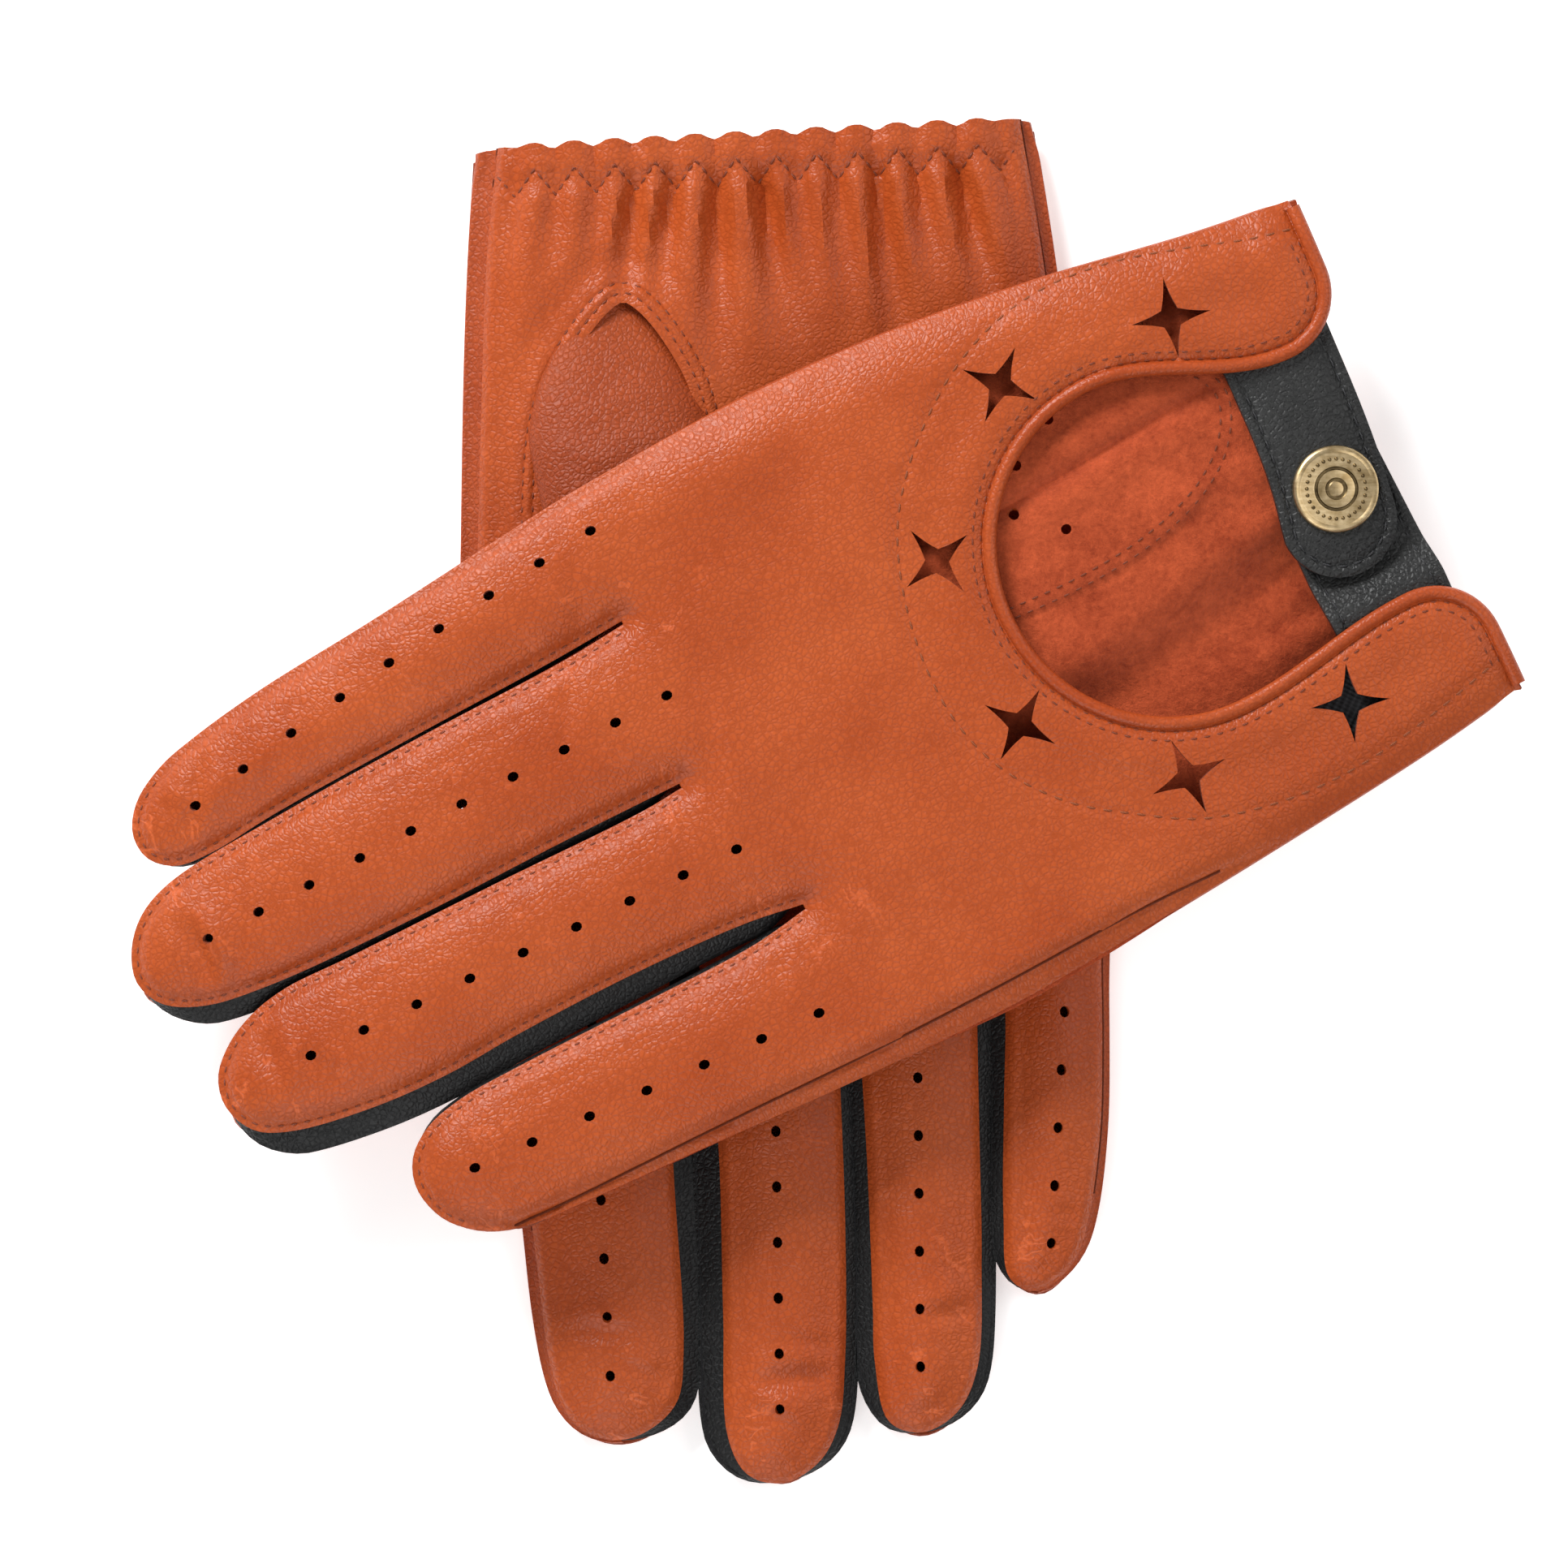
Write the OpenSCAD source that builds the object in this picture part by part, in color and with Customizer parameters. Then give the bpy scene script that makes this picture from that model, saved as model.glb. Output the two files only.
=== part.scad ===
// A pair of unlined leather driving gloves, the right one lying palm up
// on the ground and the left one lying back up across it.
//
// Each glove is drawn flat in its own frame: x runs from the wrist edge to
// the fingertips and y from the thumb side to the little finger. Depth is
// measured from the outer face of the back panel towards the palm.

/* [Hand] */
// Length of the glove from wrist edge to the crotches of the fingers
hand_len = 134; // [120:1:146]
// Width across the wrist, laid flat
wrist_w = 95; // [86:1:104]
// Width across the knuckles, laid flat
palm_w = 114; // [104:1:124]
// Thickness of the empty glove lying flat
glove_h = 10; // [9:0.5:12]

/* [Fingers] */
// Length of the little finger, crotch to tip
little_len = 76; // [62:1:86]
// Length of the ring finger
ring_len = 100; // [84:1:110]
// Length of the middle finger
middle_len = 104; // [88:1:114]
// Length of the index finger
index_len = 94; // [78:1:104]
// Shortening of the right glove's fuller, rounder fingers
puff_short = 5; // [0:1:10]
// Length of the thumb between the centres of its two round ends
thumb_len = 58; // [46:1:66]
// Radius of the thumb at its base
thumb_base_r = 14.5; // [12:0.5:16]
// Radius of the thumb tip
thumb_tip_r = 11; // [9:0.5:12]

/* [Leather] */
// Thickness of the glove leather
skin = 0.8; // [0.6:0.1:0.9]
// Width that the back panel stands out past the sewn side walls
prick_edge = 1; // [0.6:0.1:1.4]
// Thickness of the strap leather
strap_thick = 1.4; // [1:0.1:1.6]

/* [Back cut-out] */
// Half width of the round part of the cut-out
bulb_half = 29.5; // [24:0.5:31]
// Half width of its neck at the strap
neck_half = 22.5; // [18:0.5:24]
// Distance from the wrist edge to the cut-out's rounded end
cutout_reach = 75.4; // [65:0.2:80]
// Radius of the rounded corners beside the wrist opening
flare_r = 12; // [8:0.5:12]
// Width of the rolled binding
bead_w = 2.4; // [1.8:0.1:3]
// Width of the facing from cut-out edge to its outer stitch line
facing_w = 17; // [14:0.5:18]
// Span of a star from point to point
star_span = 13.8; // [9:0.2:15]

/* [Strap and snap] */
// Width of the strap
strap_w = 20.4; // [18:0.2:22]
// Distance of the strap's rounded end past the snap centre
strap_end = 15; // [12:0.5:16]
// Diameter of the snap cap
cap_d = 15; // [12:0.5:16]
// Diameter of the stud head
stud_d = 4.4; // [3.6:0.1:5]
// Radial play of the stud in the socket
snap_play = 0.4; // [0.2:0.05:0.5]

/* [Vents] */
// Diameter of the finger perforations
vent_d = 1.8; // [1.2:0.1:2.4]
// Spacing of the perforations along a finger
vent_pitch = 10.2; // [8:0.1:12]

/* [Hidden] */

right = 0;
left = 1;
little = 0;
ring = 1;
middle = 2;
index = 3;

cognac = [0.72, 0.34, 0.18];
suede = [0.70, 0.26, 0.12];
black = [0.12, 0.12, 0.13];
brass = [0.60, 0.47, 0.24];
$fn = 48;

// The play between pieces that move against each other
play = 0.3;
facing_d = 2 * skin;
palm_in = glove_h - skin;
wrist_s = 0.6;

// Where each glove's wrist centre lies and which way its fingers point
home = [[-12.07, 115.51], [101.48, 61.31]];
heading = [-86.8, 206];

// The upper glove rests on the lower glove's thumb layer and droops beyond it
thumb_h = [8, 7];
thumb_gap = [play, 4 * play];
drape_top = glove_h + thumb_h[right] + 2 * play + glove_h;
rest_x = [-62, 48];
bend_len = 14;
finger_droop = 11;
wrist_droop = 7.5;
far_x = 140;
drape = [
    [-far_x, drape_top - bend_len * tan(finger_droop / 2) - (far_x + rest_x[0] - bend_len) * tan(finger_droop)],
    [rest_x[0] - bend_len, drape_top - bend_len * tan(finger_droop / 2)],
    [rest_x[0], drape_top],
    [rest_x[1], drape_top],
    [rest_x[1] + bend_len, drape_top - bend_len * tan(wrist_droop / 2)],
    [far_x, drape_top - bend_len * tan(wrist_droop / 2) - (far_x - rest_x[1] - bend_len) * tan(wrist_droop)]
];
// The line where the wrist's slope, carried on, meets the level part
tilt_x = rest_x[1] + bend_len - bend_len * tan(wrist_droop / 2) / tan(wrist_droop);

// Fingers from little to index: length, side shift at root and at tip, and
// radius at root and at tip, for the full right and then the flat left glove
finger_len = [little_len, ring_len, middle_len, index_len];
root_t = [[43, 20.5, -5, -37], [42, 11.4, -16.4, -43.2]];
tip_t = [[40.2, 17.9, -6.8, -36.4], [41, 12, -15.2, -38.6]];
root_r = [[10.2, 11.3, 12.3, 14.2], [14, 12.4, 13.5, 12]];
tip_r = [[9.3, 11, 11.6, 13], [12.3, 12.2, 12.5, 10.2]];
crotch_s = [hand_len - 5, hand_len + 5, hand_len + 2];
crotch_t = [[32.5, 8, -20], [26, -1.6, -30.6]];

// Knuckle line at which the hand outline meets the outer fingers
knuckle_s = hand_len - 4;
function side_half(s) = wrist_w / 2 + (palm_w - wrist_w) / 2 * sin(min(90, 90 * s / (0.75 * hand_len)));
function flip(list) = [for (i = [len(list) - 1:-1:0]) list[i]];
function tip_s(g, f) = hand_len + finger_len[f] - (g == right ? puff_short : 0) - tip_r[g][f];

// Rounded tip of one finger on one side, from the widest point to the apex
function tip_arc(g, f, side, inset) = [
    for (a = [90:-15:0])
        [tip_s(g, f) + (tip_r[g][f] - inset) * cos(a), tip_t[g][f] + side * (tip_r[g][f] - inset) * sin(a)]
];

// Inner side of a finger from the middle of the crotch to its tip
function inner_side(g, f, side, inset) =
    let (c = side > 0 ? f - 1 : f)
    concat(
        [[crotch_s[c] - inset, crotch_t[g][c]],
         [crotch_s[c] - inset, root_t[g][f] + side * (root_r[g][f] - inset)]],
        tip_arc(g, f, side, inset)
    );

// Outer side of the hand from the wrist to the tip of its outer finger
function outer_side(g, f, side, inset, start) = concat(
    [[start, side * (side_half(start) - inset)]],
    [for (k = [1:6]) let (s = k * knuckle_s / 6) [s, side * (side_half(s) - inset)]],
    [[hand_len + 14, root_t[g][f] + side * (root_r[g][f] - inset)]],
    tip_arc(g, f, side, inset)
);

function hand_outline(g, inset, start) = concat(
    outer_side(g, little, 1, inset, start),
    flip(inner_side(g, little, -1, inset)),
    inner_side(g, ring, 1, inset), flip(inner_side(g, ring, -1, inset)),
    inner_side(g, middle, 1, inset), flip(inner_side(g, middle, -1, inset)),
    inner_side(g, index, 1, inset), flip(outer_side(g, index, -1, inset, start))
);

// Edge of the cut-out on one side, from its rounded end to the wrist corner,
// moved outwards by grow
neck_s = wrist_s + flare_r;
bulb_s = neck_s + 34;
bulb_t = -3;
bulb_len = cutout_reach - bulb_s;
function ease(x) = (1 - cos(180 * x)) / 2;
function cutout_side(side, grow) = concat(
    [for (a = [0:9:90])
        [bulb_s + (bulb_len + grow) * cos(a), bulb_t + side * (bulb_half + grow) * sin(a)]],
    [for (x = [5/6:-1/6:0])
        [neck_s + (bulb_s - neck_s) * x,
         bulb_t * ease(x) + side * (neck_half + grow + (bulb_half - neck_half) * ease(x))]],
    [for (a = [0:15:90])
        [neck_s - (flare_r - grow) * sin(a), side * (neck_half + flare_r - (flare_r - grow) * cos(a))]]
);
function cutout_outline(grow) = concat(
    cutout_side(1, grow), [[wrist_s + grow, palm_w], [-palm_w, palm_w]],
    [[-palm_w, -palm_w], [wrist_s + grow, -palm_w]], flip(cutout_side(-1, grow))
);

// Star cut-outs round the opening: centre and turn of one arm
stars = [[29.7, 35.3, 71], [60.3, 34.4, 0], [82.4, 13.7, 35], [82.9, -17.7, 15], [60, -40.1, 42], [28.6, -37.6, -15]];

// Snap centre and the lines of strap and tab that meet there
snap = [15.4, 1.3];
flap_axis = -21.2;
root_end = flap_axis - 0.65 * strap_thick;
tab_from = 36;
cap_h = facing_d;
flap_out = facing_d;
flap_in = flap_out + strap_thick;
socket_h = 1.3;
flange_h = 0.35;
tab_out = flap_in + socket_h + flange_h + play / 2;
tab_in = tab_out + strap_thick;
post_h = 0.6;
rivet_r = 1.9;

// Places one glove's flat frame over the ground
module place(g)
    translate([home[g].x, home[g].y, 0]) rotate([0, 0, heading[g]]) children();

// The upper glove's draped sheet between two depths
module draped_slab(from, to) {
    top = [for (p = drape) [p.x, p.y - from]];
    bottom = [for (p = drape) [p.x, p.y - to]];
    rotate([90, 0, 0]) translate([0, 0, -far_x]) linear_extrude(2 * far_x) polygon(concat(top, flip(bottom)));
}

// A sheet of one glove between two depths, cut to a flat outline
module sheet(g, from, to)
    if (g == right)
        place(g) translate([0, 0, from]) linear_extrude(to - from) children();
    else
        intersection() {
            place(g) translate([0, 0, -glove_h]) linear_extrude(6 * glove_h) children();
            draped_slab(from, to);
        }

// The frame of the wrist's plane, where z is depth below the back's outer face
module wrist_frame(g)
    if (g == right)
        place(g) children();
    else
        translate([tilt_x, 0, drape_top]) rotate([0, wrist_droop, 0]) translate([-tilt_x, 0, 0])
            place(g) mirror([0, 0, 1]) children();

module hand(g, inset, start = wrist_s) polygon(hand_outline(g, inset, start));

module cutout(grow) polygon(cutout_outline(grow));

module star()
    polygon([for (i = [0:7]) (i % 2 == 0 ? star_span / 2 : 2.1) * [cos(45 * i), sin(45 * i)]]);

module star_ring()
    for (p = stars) translate([p.x, p.y]) rotate(p.z) star();

// Row of round vents along the middle of a finger
module vent_row(g, f, first) {
    last = tip_s(g, f) + tip_r[g][f] / 3;
    for (s = [first:vent_pitch:last])
        translate([s, root_t[g][f] + (tip_t[g][f] - root_t[g][f]) * (s - hand_len) / (last - hand_len)])
            circle(d = vent_d, $fn = 16);
}

// The oval hole in the palm over which the thumb is sewn
thumb_at = [46, -25];
thumb_lean = [5, 23];
module thumb_hole(shrink) translate(thumb_at) circle(thumb_base_r - shrink);

module thumb_plan(g, inset) {
    steps = [for (a = [90:15:270]) (thumb_base_r - inset) * [cos(a), sin(a)]];
    tip = [for (a = [-90:15:90]) [thumb_len, 0] + (thumb_tip_r - inset) * [cos(a), sin(a)]];
    translate(thumb_at) rotate(thumb_lean[g]) polygon(concat(steps, tip));
}

module back_panel(g)
    color(cognac) sheet(g, 0, skin) difference() {
        hand(g, 0);
        cutout(bead_w);
        star_ring();
        for (f = [little:index]) vent_row(g, f, hand_len);
    }

module side_wrap(g, f, side)
    color(cognac) sheet(g, skin, palm_in)
        polygon(concat(outer_side(g, f, side, prick_edge, wrist_s),
                       flip(outer_side(g, f, side, prick_edge + skin, wrist_s))));

module fourchette(g, f, side)
    color(black) sheet(g, skin, palm_in)
        polygon(concat(inner_side(g, f, side, prick_edge), flip(inner_side(g, f, side, prick_edge + skin))));

module cutout_facing(g)
    color(suede) sheet(g, skin, facing_d) intersection() {
        difference() {
            polygon(concat(
                [for (a = [-90:9:90]) [bulb_s + (bulb_len + facing_w) * cos(a),
                                       bulb_t + (bulb_half + facing_w + 1.8) * sin(a)]],
                [[wrist_s, wrist_w / 2 - 6.5], [wrist_s, 6.5 - wrist_w / 2]]));
            cutout(bead_w);
            star_ring();
        }
        hand(g, prick_edge + 1.5 * skin);
    }

module edge_binding(g)
    color(cognac) sheet(g, 0, 2 * skin) intersection() {
        difference() {
            cutout(bead_w);
            cutout(0);
        }
        hand(g, prick_edge + 1.5 * skin);
    }

module palm_panel(g)
    color(cognac) sheet(g, palm_in, glove_h) difference() {
        hand(g, prick_edge);
        thumb_hole(0);
        for (f = [little:index]) vent_row(g, f, hand_len + 2 * vent_pitch);
    }

module thumb(g) {
    from = glove_h + thumb_gap[g];
    to = from + thumb_h[g];
    color(cognac) difference() {
        sheet(g, from, to) thumb_plan(g, 0);
        sheet(g, from + skin, to - skin) thumb_plan(g, skin);
        sheet(g, from - skin, from + 1.5 * skin) thumb_hole(2);
    }
}

elastic_s = 4;
elastic_w = 6;
module wrist_elastic(g)
    color(black) sheet(g, palm_in - 1, palm_in) intersection() {
        hand(g, prick_edge + 1.5 * skin);
        translate([elastic_s, -palm_w]) square([elastic_w, 2 * palm_w]);
    }

// Part of the strap that is sewn under the facing on the thumb side
module strap_root(g)
    color(black) wrist_frame(g) translate([snap.x - strap_w / 2 - 1, -tab_from, flap_out])
        cube([strap_w, tab_from + root_end, strap_thick]);

module strap_flap(g) {
    end_r = strap_w / 2;
    color(black) wrist_frame(g) {
        translate([0, 0, flap_out]) linear_extrude(strap_thick) difference() {
            polygon(concat(
                [[snap.x - end_r - 1, flap_axis], [snap.x + end_r - 1, flap_axis]],
                [for (a = [0:15:180]) [snap.x + 1 + end_r * cos(a), snap.y + strap_end - end_r + end_r * sin(a)]]));
            translate(snap) circle(rivet_r);
        }
        // the end turns in the bend as a round edge
        translate([snap.x - end_r - 1, flap_axis, flap_out + strap_thick / 2])
            rotate([0, 90, 0]) cylinder(d = strap_thick, h = strap_w);
    }
}

// Tab that carries the stud: it dips under the strap from the little-finger side
module stud_tab(g) {
    ramp = tab_out - flap_out;
    side_view = [
        [tab_from, flap_out], [neck_half, flap_out], [neck_half - 2 * ramp, tab_out], [snap.y - 9, tab_out],
        [snap.y - 9, tab_in], [neck_half - 2 * ramp - 0.5, tab_in], [neck_half - 0.5, flap_in], [tab_from, flap_in]
    ];
    color(black) wrist_frame(g) difference() {
        translate([snap.x - strap_w / 2, 0, 0]) rotate([90, 0, 90])
            linear_extrude(strap_w) polygon(side_view);
        translate([snap.x, snap.y, tab_out - 1]) cylinder(r = rivet_r, h = strap_thick + 2);
    }
}

// Woven tape behind the tab's sewn end, seen through the nearest star
module anchor_tape(g)
    color(black) wrist_frame(g) translate([snap.x - strap_w / 2, neck_half + 4, flap_in])
        cube([31, tab_from - neck_half + 3, skin]);

// Turned snap pieces; each profile is radius against depth
module turned(g, profile)
    wrist_frame(g) translate([snap.x, snap.y, 0]) rotate_extrude() polygon(profile);

module snap_cap(g) {
    r = cap_d / 2;
    color(brass) turned(g, [
        [0, 0.2], [2.2, 0.2], [2.4, 0], [3.2, 0], [3.4, 0.3], [5.6, 0.3], [5.9, 0], [r - 1, 0.1], [r, 0.7],
        [r, cap_h - 0.3], [r - 0.4, cap_h], [rivet_r, cap_h], [rivet_r, flap_in], [0, flap_in]
    ]);
}

module snap_socket(g)
    color(brass) turned(g, [
        [stud_d / 2 + snap_play, flap_in], [5.6, flap_in], [6, flap_in + 0.4], [5.2, flap_in + socket_h],
        [stud_d / 2 + snap_play, flap_in + socket_h]
    ]);

module snap_stud(g) {
    r = stud_d / 2;
    color(brass) turned(g, [
        [0, flap_in + 0.2], [r - 0.4, flap_in + 0.2], [r, flap_in + 0.6], [r - 0.2, tab_out - flange_h],
        [5.4, tab_out - flange_h], [5.6, tab_out], [0, tab_out]
    ]);
}

module snap_post(g)
    color(brass) turned(g, [
        [0, tab_out], [rivet_r, tab_out], [rivet_r, tab_in], [5, tab_in], [4.6, tab_in + post_h], [0, tab_in + post_h]
    ]);

back_panel(right);  // right_back_panel
side_wrap(right, little, 1);  // right_little_side_wrap
side_wrap(right, index, -1);  // right_index_side_wrap
cutout_facing(right);  // right_cutout_facing
edge_binding(right);  // right_edge_binding
palm_panel(right);  // right_palm_panel
fourchette(right, little, -1);  // right_fourchette_little
fourchette(right, ring, 1);  // right_fourchette_ring_outer
fourchette(right, ring, -1);  // right_fourchette_ring_inner
fourchette(right, middle, 1);  // right_fourchette_middle_outer
fourchette(right, middle, -1);  // right_fourchette_middle_inner
fourchette(right, index, 1);  // right_fourchette_index
thumb(right);  // right_thumb
wrist_elastic(right);  // right_wrist_elastic
strap_root(right);  // right_strap_root
strap_flap(right);  // right_strap_flap
stud_tab(right);  // right_stud_tab
anchor_tape(right);  // right_anchor_tape
snap_cap(right);  // right_snap_cap
snap_socket(right);  // right_snap_socket
snap_stud(right);  // right_snap_stud
snap_post(right);  // right_snap_post
back_panel(left);  // left_back_panel
side_wrap(left, little, 1);  // left_little_side_wrap
side_wrap(left, index, -1);  // left_index_side_wrap
cutout_facing(left);  // left_cutout_facing
edge_binding(left);  // left_edge_binding
palm_panel(left);  // left_palm_panel
fourchette(left, little, -1);  // left_fourchette_little
fourchette(left, ring, 1);  // left_fourchette_ring_outer
fourchette(left, ring, -1);  // left_fourchette_ring_inner
fourchette(left, middle, 1);  // left_fourchette_middle_outer
fourchette(left, middle, -1);  // left_fourchette_middle_inner
fourchette(left, index, 1);  // left_fourchette_index
thumb(left);  // left_thumb
wrist_elastic(left);  // left_wrist_elastic
strap_root(left);  // left_strap_root
strap_flap(left);  // left_strap_flap
stud_tab(left);  // left_stud_tab
anchor_tape(left);  // left_anchor_tape
snap_cap(left);  // left_snap_cap
snap_socket(left);  // left_snap_socket
snap_stud(left);  // left_snap_stud
snap_post(left);  // left_snap_post
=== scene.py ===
import math

import bmesh
import bpy
import numpy as np
from functools import partial
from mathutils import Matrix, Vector, geometry


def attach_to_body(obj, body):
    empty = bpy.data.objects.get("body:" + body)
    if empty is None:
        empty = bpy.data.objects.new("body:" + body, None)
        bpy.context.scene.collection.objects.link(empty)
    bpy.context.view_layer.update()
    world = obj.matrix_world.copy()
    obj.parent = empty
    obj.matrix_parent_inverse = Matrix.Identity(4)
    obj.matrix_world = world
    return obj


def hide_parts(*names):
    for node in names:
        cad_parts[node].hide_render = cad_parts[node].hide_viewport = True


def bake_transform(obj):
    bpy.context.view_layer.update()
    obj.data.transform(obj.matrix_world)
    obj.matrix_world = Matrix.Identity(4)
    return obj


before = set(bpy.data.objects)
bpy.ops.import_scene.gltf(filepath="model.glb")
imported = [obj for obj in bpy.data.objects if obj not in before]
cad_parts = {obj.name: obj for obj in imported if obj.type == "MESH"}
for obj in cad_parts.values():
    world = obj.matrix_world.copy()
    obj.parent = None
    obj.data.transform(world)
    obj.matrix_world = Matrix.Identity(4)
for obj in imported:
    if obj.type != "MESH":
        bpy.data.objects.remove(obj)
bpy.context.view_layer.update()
mm = 0.001
bpy.ops.object.select_all(action="DESELECT")
print("frame loaded")

# Each glove's flat frame: s runs from the wrist to the fingertips, t towards the
# little finger, and depth from the back's outer face to the palm. All in millimetres.
gloves = {
    "right": {"wrist": (-12.07, 115.51), "heading": -86.8},
    "left": {"wrist": (101.48, 61.31), "heading": 206.0},
}
drape = {"top": 28.6, "level": (-62, 48), "bend": 14, "fingers": 11, "wrist": 7.5, "softness": 9}
leather = {"thick": 0.8, "height": 10.0, "grid": 1.55}
sides = ("right", "left")


def slope(angle):
    return math.tan(math.radians(angle))


def drapeTop(x):
    # height of the upper glove's back: level over the thumbs, then drooping both ways
    knots = [-140, drape["level"][0] - drape["bend"], drape["level"][0]]
    knots += [drape["level"][1], drape["level"][1] + drape["bend"], 140]
    fingerEdge = -drape["bend"] * slope(drape["fingers"] / 2)
    wristEdge = -drape["bend"] * slope(drape["wrist"] / 2)
    falls = [fingerEdge - (knots[1] - knots[0]) * slope(drape["fingers"]), fingerEdge, 0]
    falls += [0, wristEdge, wristEdge - (knots[5] - knots[4]) * slope(drape["wrist"])]
    reach = drape["softness"] * (np.asarray(x) < 40)
    spread = np.linspace(-1, 1, 9)[:, None]
    return drape["top"] + np.interp(np.asarray(x)[None] + spread * reach, knots, falls).mean(axis=0)


def planPoint(side, s, t):
    turn = math.radians(gloves[side]["heading"])
    x = gloves[side]["wrist"][0] + s * math.cos(turn) - t * math.sin(turn)
    y = gloves[side]["wrist"][1] + s * math.sin(turn) + t * math.cos(turn)
    return x, y


def toWorld(side, s, t, depth):
    # flat glove coordinates to metres in the frame
    s, t, depth = np.broadcast_arrays(*[np.asarray(v, float) for v in (s, t, depth)])
    x, y = planPoint(side, s, t)
    z = depth if side == "right" else drapeTop(x.ravel()).reshape(x.shape) - depth
    return np.stack([x, y, z], axis=-1) * mm


# Curves in the flat frame


def smoothCurve(points):
    # a spline through the points, rounder where they are close together, with eight steps for each span
    p = np.asarray(points, float)
    p = np.vstack([2 * p[0] - p[1], p, 2 * p[-1] - p[-2]])
    out = []
    for i in range(1, len(p) - 2):
        knot = [0.0]
        for a, b in ((i - 1, i), (i, i + 1), (i + 1, i + 2)):
            knot.append(knot[-1] + max(np.linalg.norm(p[b] - p[a]), 1e-6) ** 0.5)
        for u in np.linspace(knot[1], knot[2], 8, endpoint=False):
            a1 = ((knot[1] - u) * p[i - 1] + (u - knot[0]) * p[i]) / (knot[1] - knot[0])
            a2 = ((knot[2] - u) * p[i] + (u - knot[1]) * p[i + 1]) / (knot[2] - knot[1])
            a3 = ((knot[3] - u) * p[i + 1] + (u - knot[2]) * p[i + 2]) / (knot[3] - knot[2])
            b1 = ((knot[2] - u) * a1 + (u - knot[0]) * a2) / (knot[2] - knot[0])
            b2 = ((knot[3] - u) * a2 + (u - knot[1]) * a3) / (knot[3] - knot[1])
            out.append(((knot[2] - u) * b1 + (u - knot[1]) * b2) / (knot[2] - knot[1]))
    out.append(p[-2])
    return np.array(out)


def runAlong(points):
    # length of a curve up to each of its points
    return np.concatenate([[0], np.cumsum(np.linalg.norm(np.diff(points, axis=0), axis=1))])


def evenly(points, step=None, count=None):
    # the same curve with evenly spaced points
    p = np.asarray(points, float)
    run = runAlong(p)
    if count is None:
        count = max(2, int(round(run[-1] / step)) + 1)
    at = np.linspace(0, run[-1], count)
    return np.stack([np.interp(at, run, p[:, k]) for k in range(p.shape[1])], axis=1)


def outward(points, turn=1):
    # unit normals beside a curve
    d = np.gradient(np.asarray(points, float), axis=0)
    n = np.stack([-d[:, 1], d[:, 0]], axis=1) * turn
    return n / np.maximum(np.linalg.norm(n, axis=1, keepdims=True), 1e-9)


def insideOf(loop, pts):
    # which points a closed loop holds
    x, y = pts[:, 0], pts[:, 1]
    hit = np.zeros(len(pts), bool)
    for (ax, ay), (bx, by) in zip(loop, np.roll(loop, -1, axis=0)):
        if ay != by:
            hit ^= ((ay > y) != (by > y)) & (x < (bx - ax) * (y - ay) / (by - ay) + ax)
    return hit


def edgeDistance(pts, curve, closed=False):
    # distance from each point to a curve
    a = np.asarray(curve, float)
    b = np.roll(a, -1, axis=0) if closed else a[1:]
    a = a if closed else a[:-1]
    pts = np.asarray(pts, float)
    best = np.full(len(pts), 1e9)
    for start in range(0, len(a), 64):
        p0, p1 = a[start:start + 64], b[start:start + 64]
        d = p1 - p0
        k = ((pts[:, None] - p0) * d).sum(-1) / np.maximum((d * d).sum(-1), 1e-12)
        near = p0 + np.clip(k, 0, 1)[..., None] * d
        best = np.minimum(best, np.linalg.norm(pts[:, None] - near, axis=-1).min(axis=1))
    return best


def hump(x):
    # 1 at 0 falling smoothly to 0 at 1
    x = np.clip(np.abs(x), 0, 1)
    return (1 - x * x) ** 2


def rise(x, low, high):
    # 0 below low, 1 above high, smooth between
    k = np.clip((np.asarray(x, float) - low) / (high - low), 0, 1)
    return k * k * (3 - 2 * k)


# Outlines of the leather panels, finger by finger from the little finger's outer side
# round to the index finger's. Each finger runs from one crotch over its tip to the next.
leftBack = {
    "little": [(1.5, 45.6), (18.6, 48.4), (47, 51.6), (75.7, 54.3), (104, 56.4), (133, 56.3),
               (161, 55.3), (183, 54.6), (197, 53.7), (204, 50.9), (208.6, 46.3), (210.3, 39.9),
               (208.6, 34.9), (204, 31.3), (197, 29.4), (185, 28.7), (161, 28.3), (140, 27.7),
               (129.3, 26)],
    "ring": [(129.3, 25.1), (140, 23.7), (161, 23.1), (183, 23.7), (197, 24.6), (211, 24.1),
             (225.7, 21.6), (231.4, 18.6), (234, 13), (232.9, 7.7), (228.6, 3.4), (222.9, 0.6),
             (215.7, -0.9), (204, -0.9), (175, -1.2), (147, -1.3), (139.3, -2)],
    "middle": [(139.3, -2.8), (161, -2.6), (190, -2), (218.6, -2.6), (230, -4.4), (236.4, -8),
               (238.6, -13), (237, -18.4), (232.9, -23), (226, -26), (204, -28.1), (176, -29.5),
               (147, -30.5), (136, -31.6)],
    "index": [(136, -32.2), (150, -31.2), (176, -30.1), (204, -28.7), (217, -27.5), (223.8, -28.2),
              (227.6, -31.6), (228, -36.4), (225, -41), (218.6, -44.7), (211, -46.7), (197, -49),
              (176, -51), (161, -52.7), (147, -54.4), (133, -55.9), (104, -57.4), (76, -56.9),
              (47, -53.7), (18.6, -49), (0, -46.9)],
}
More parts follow.
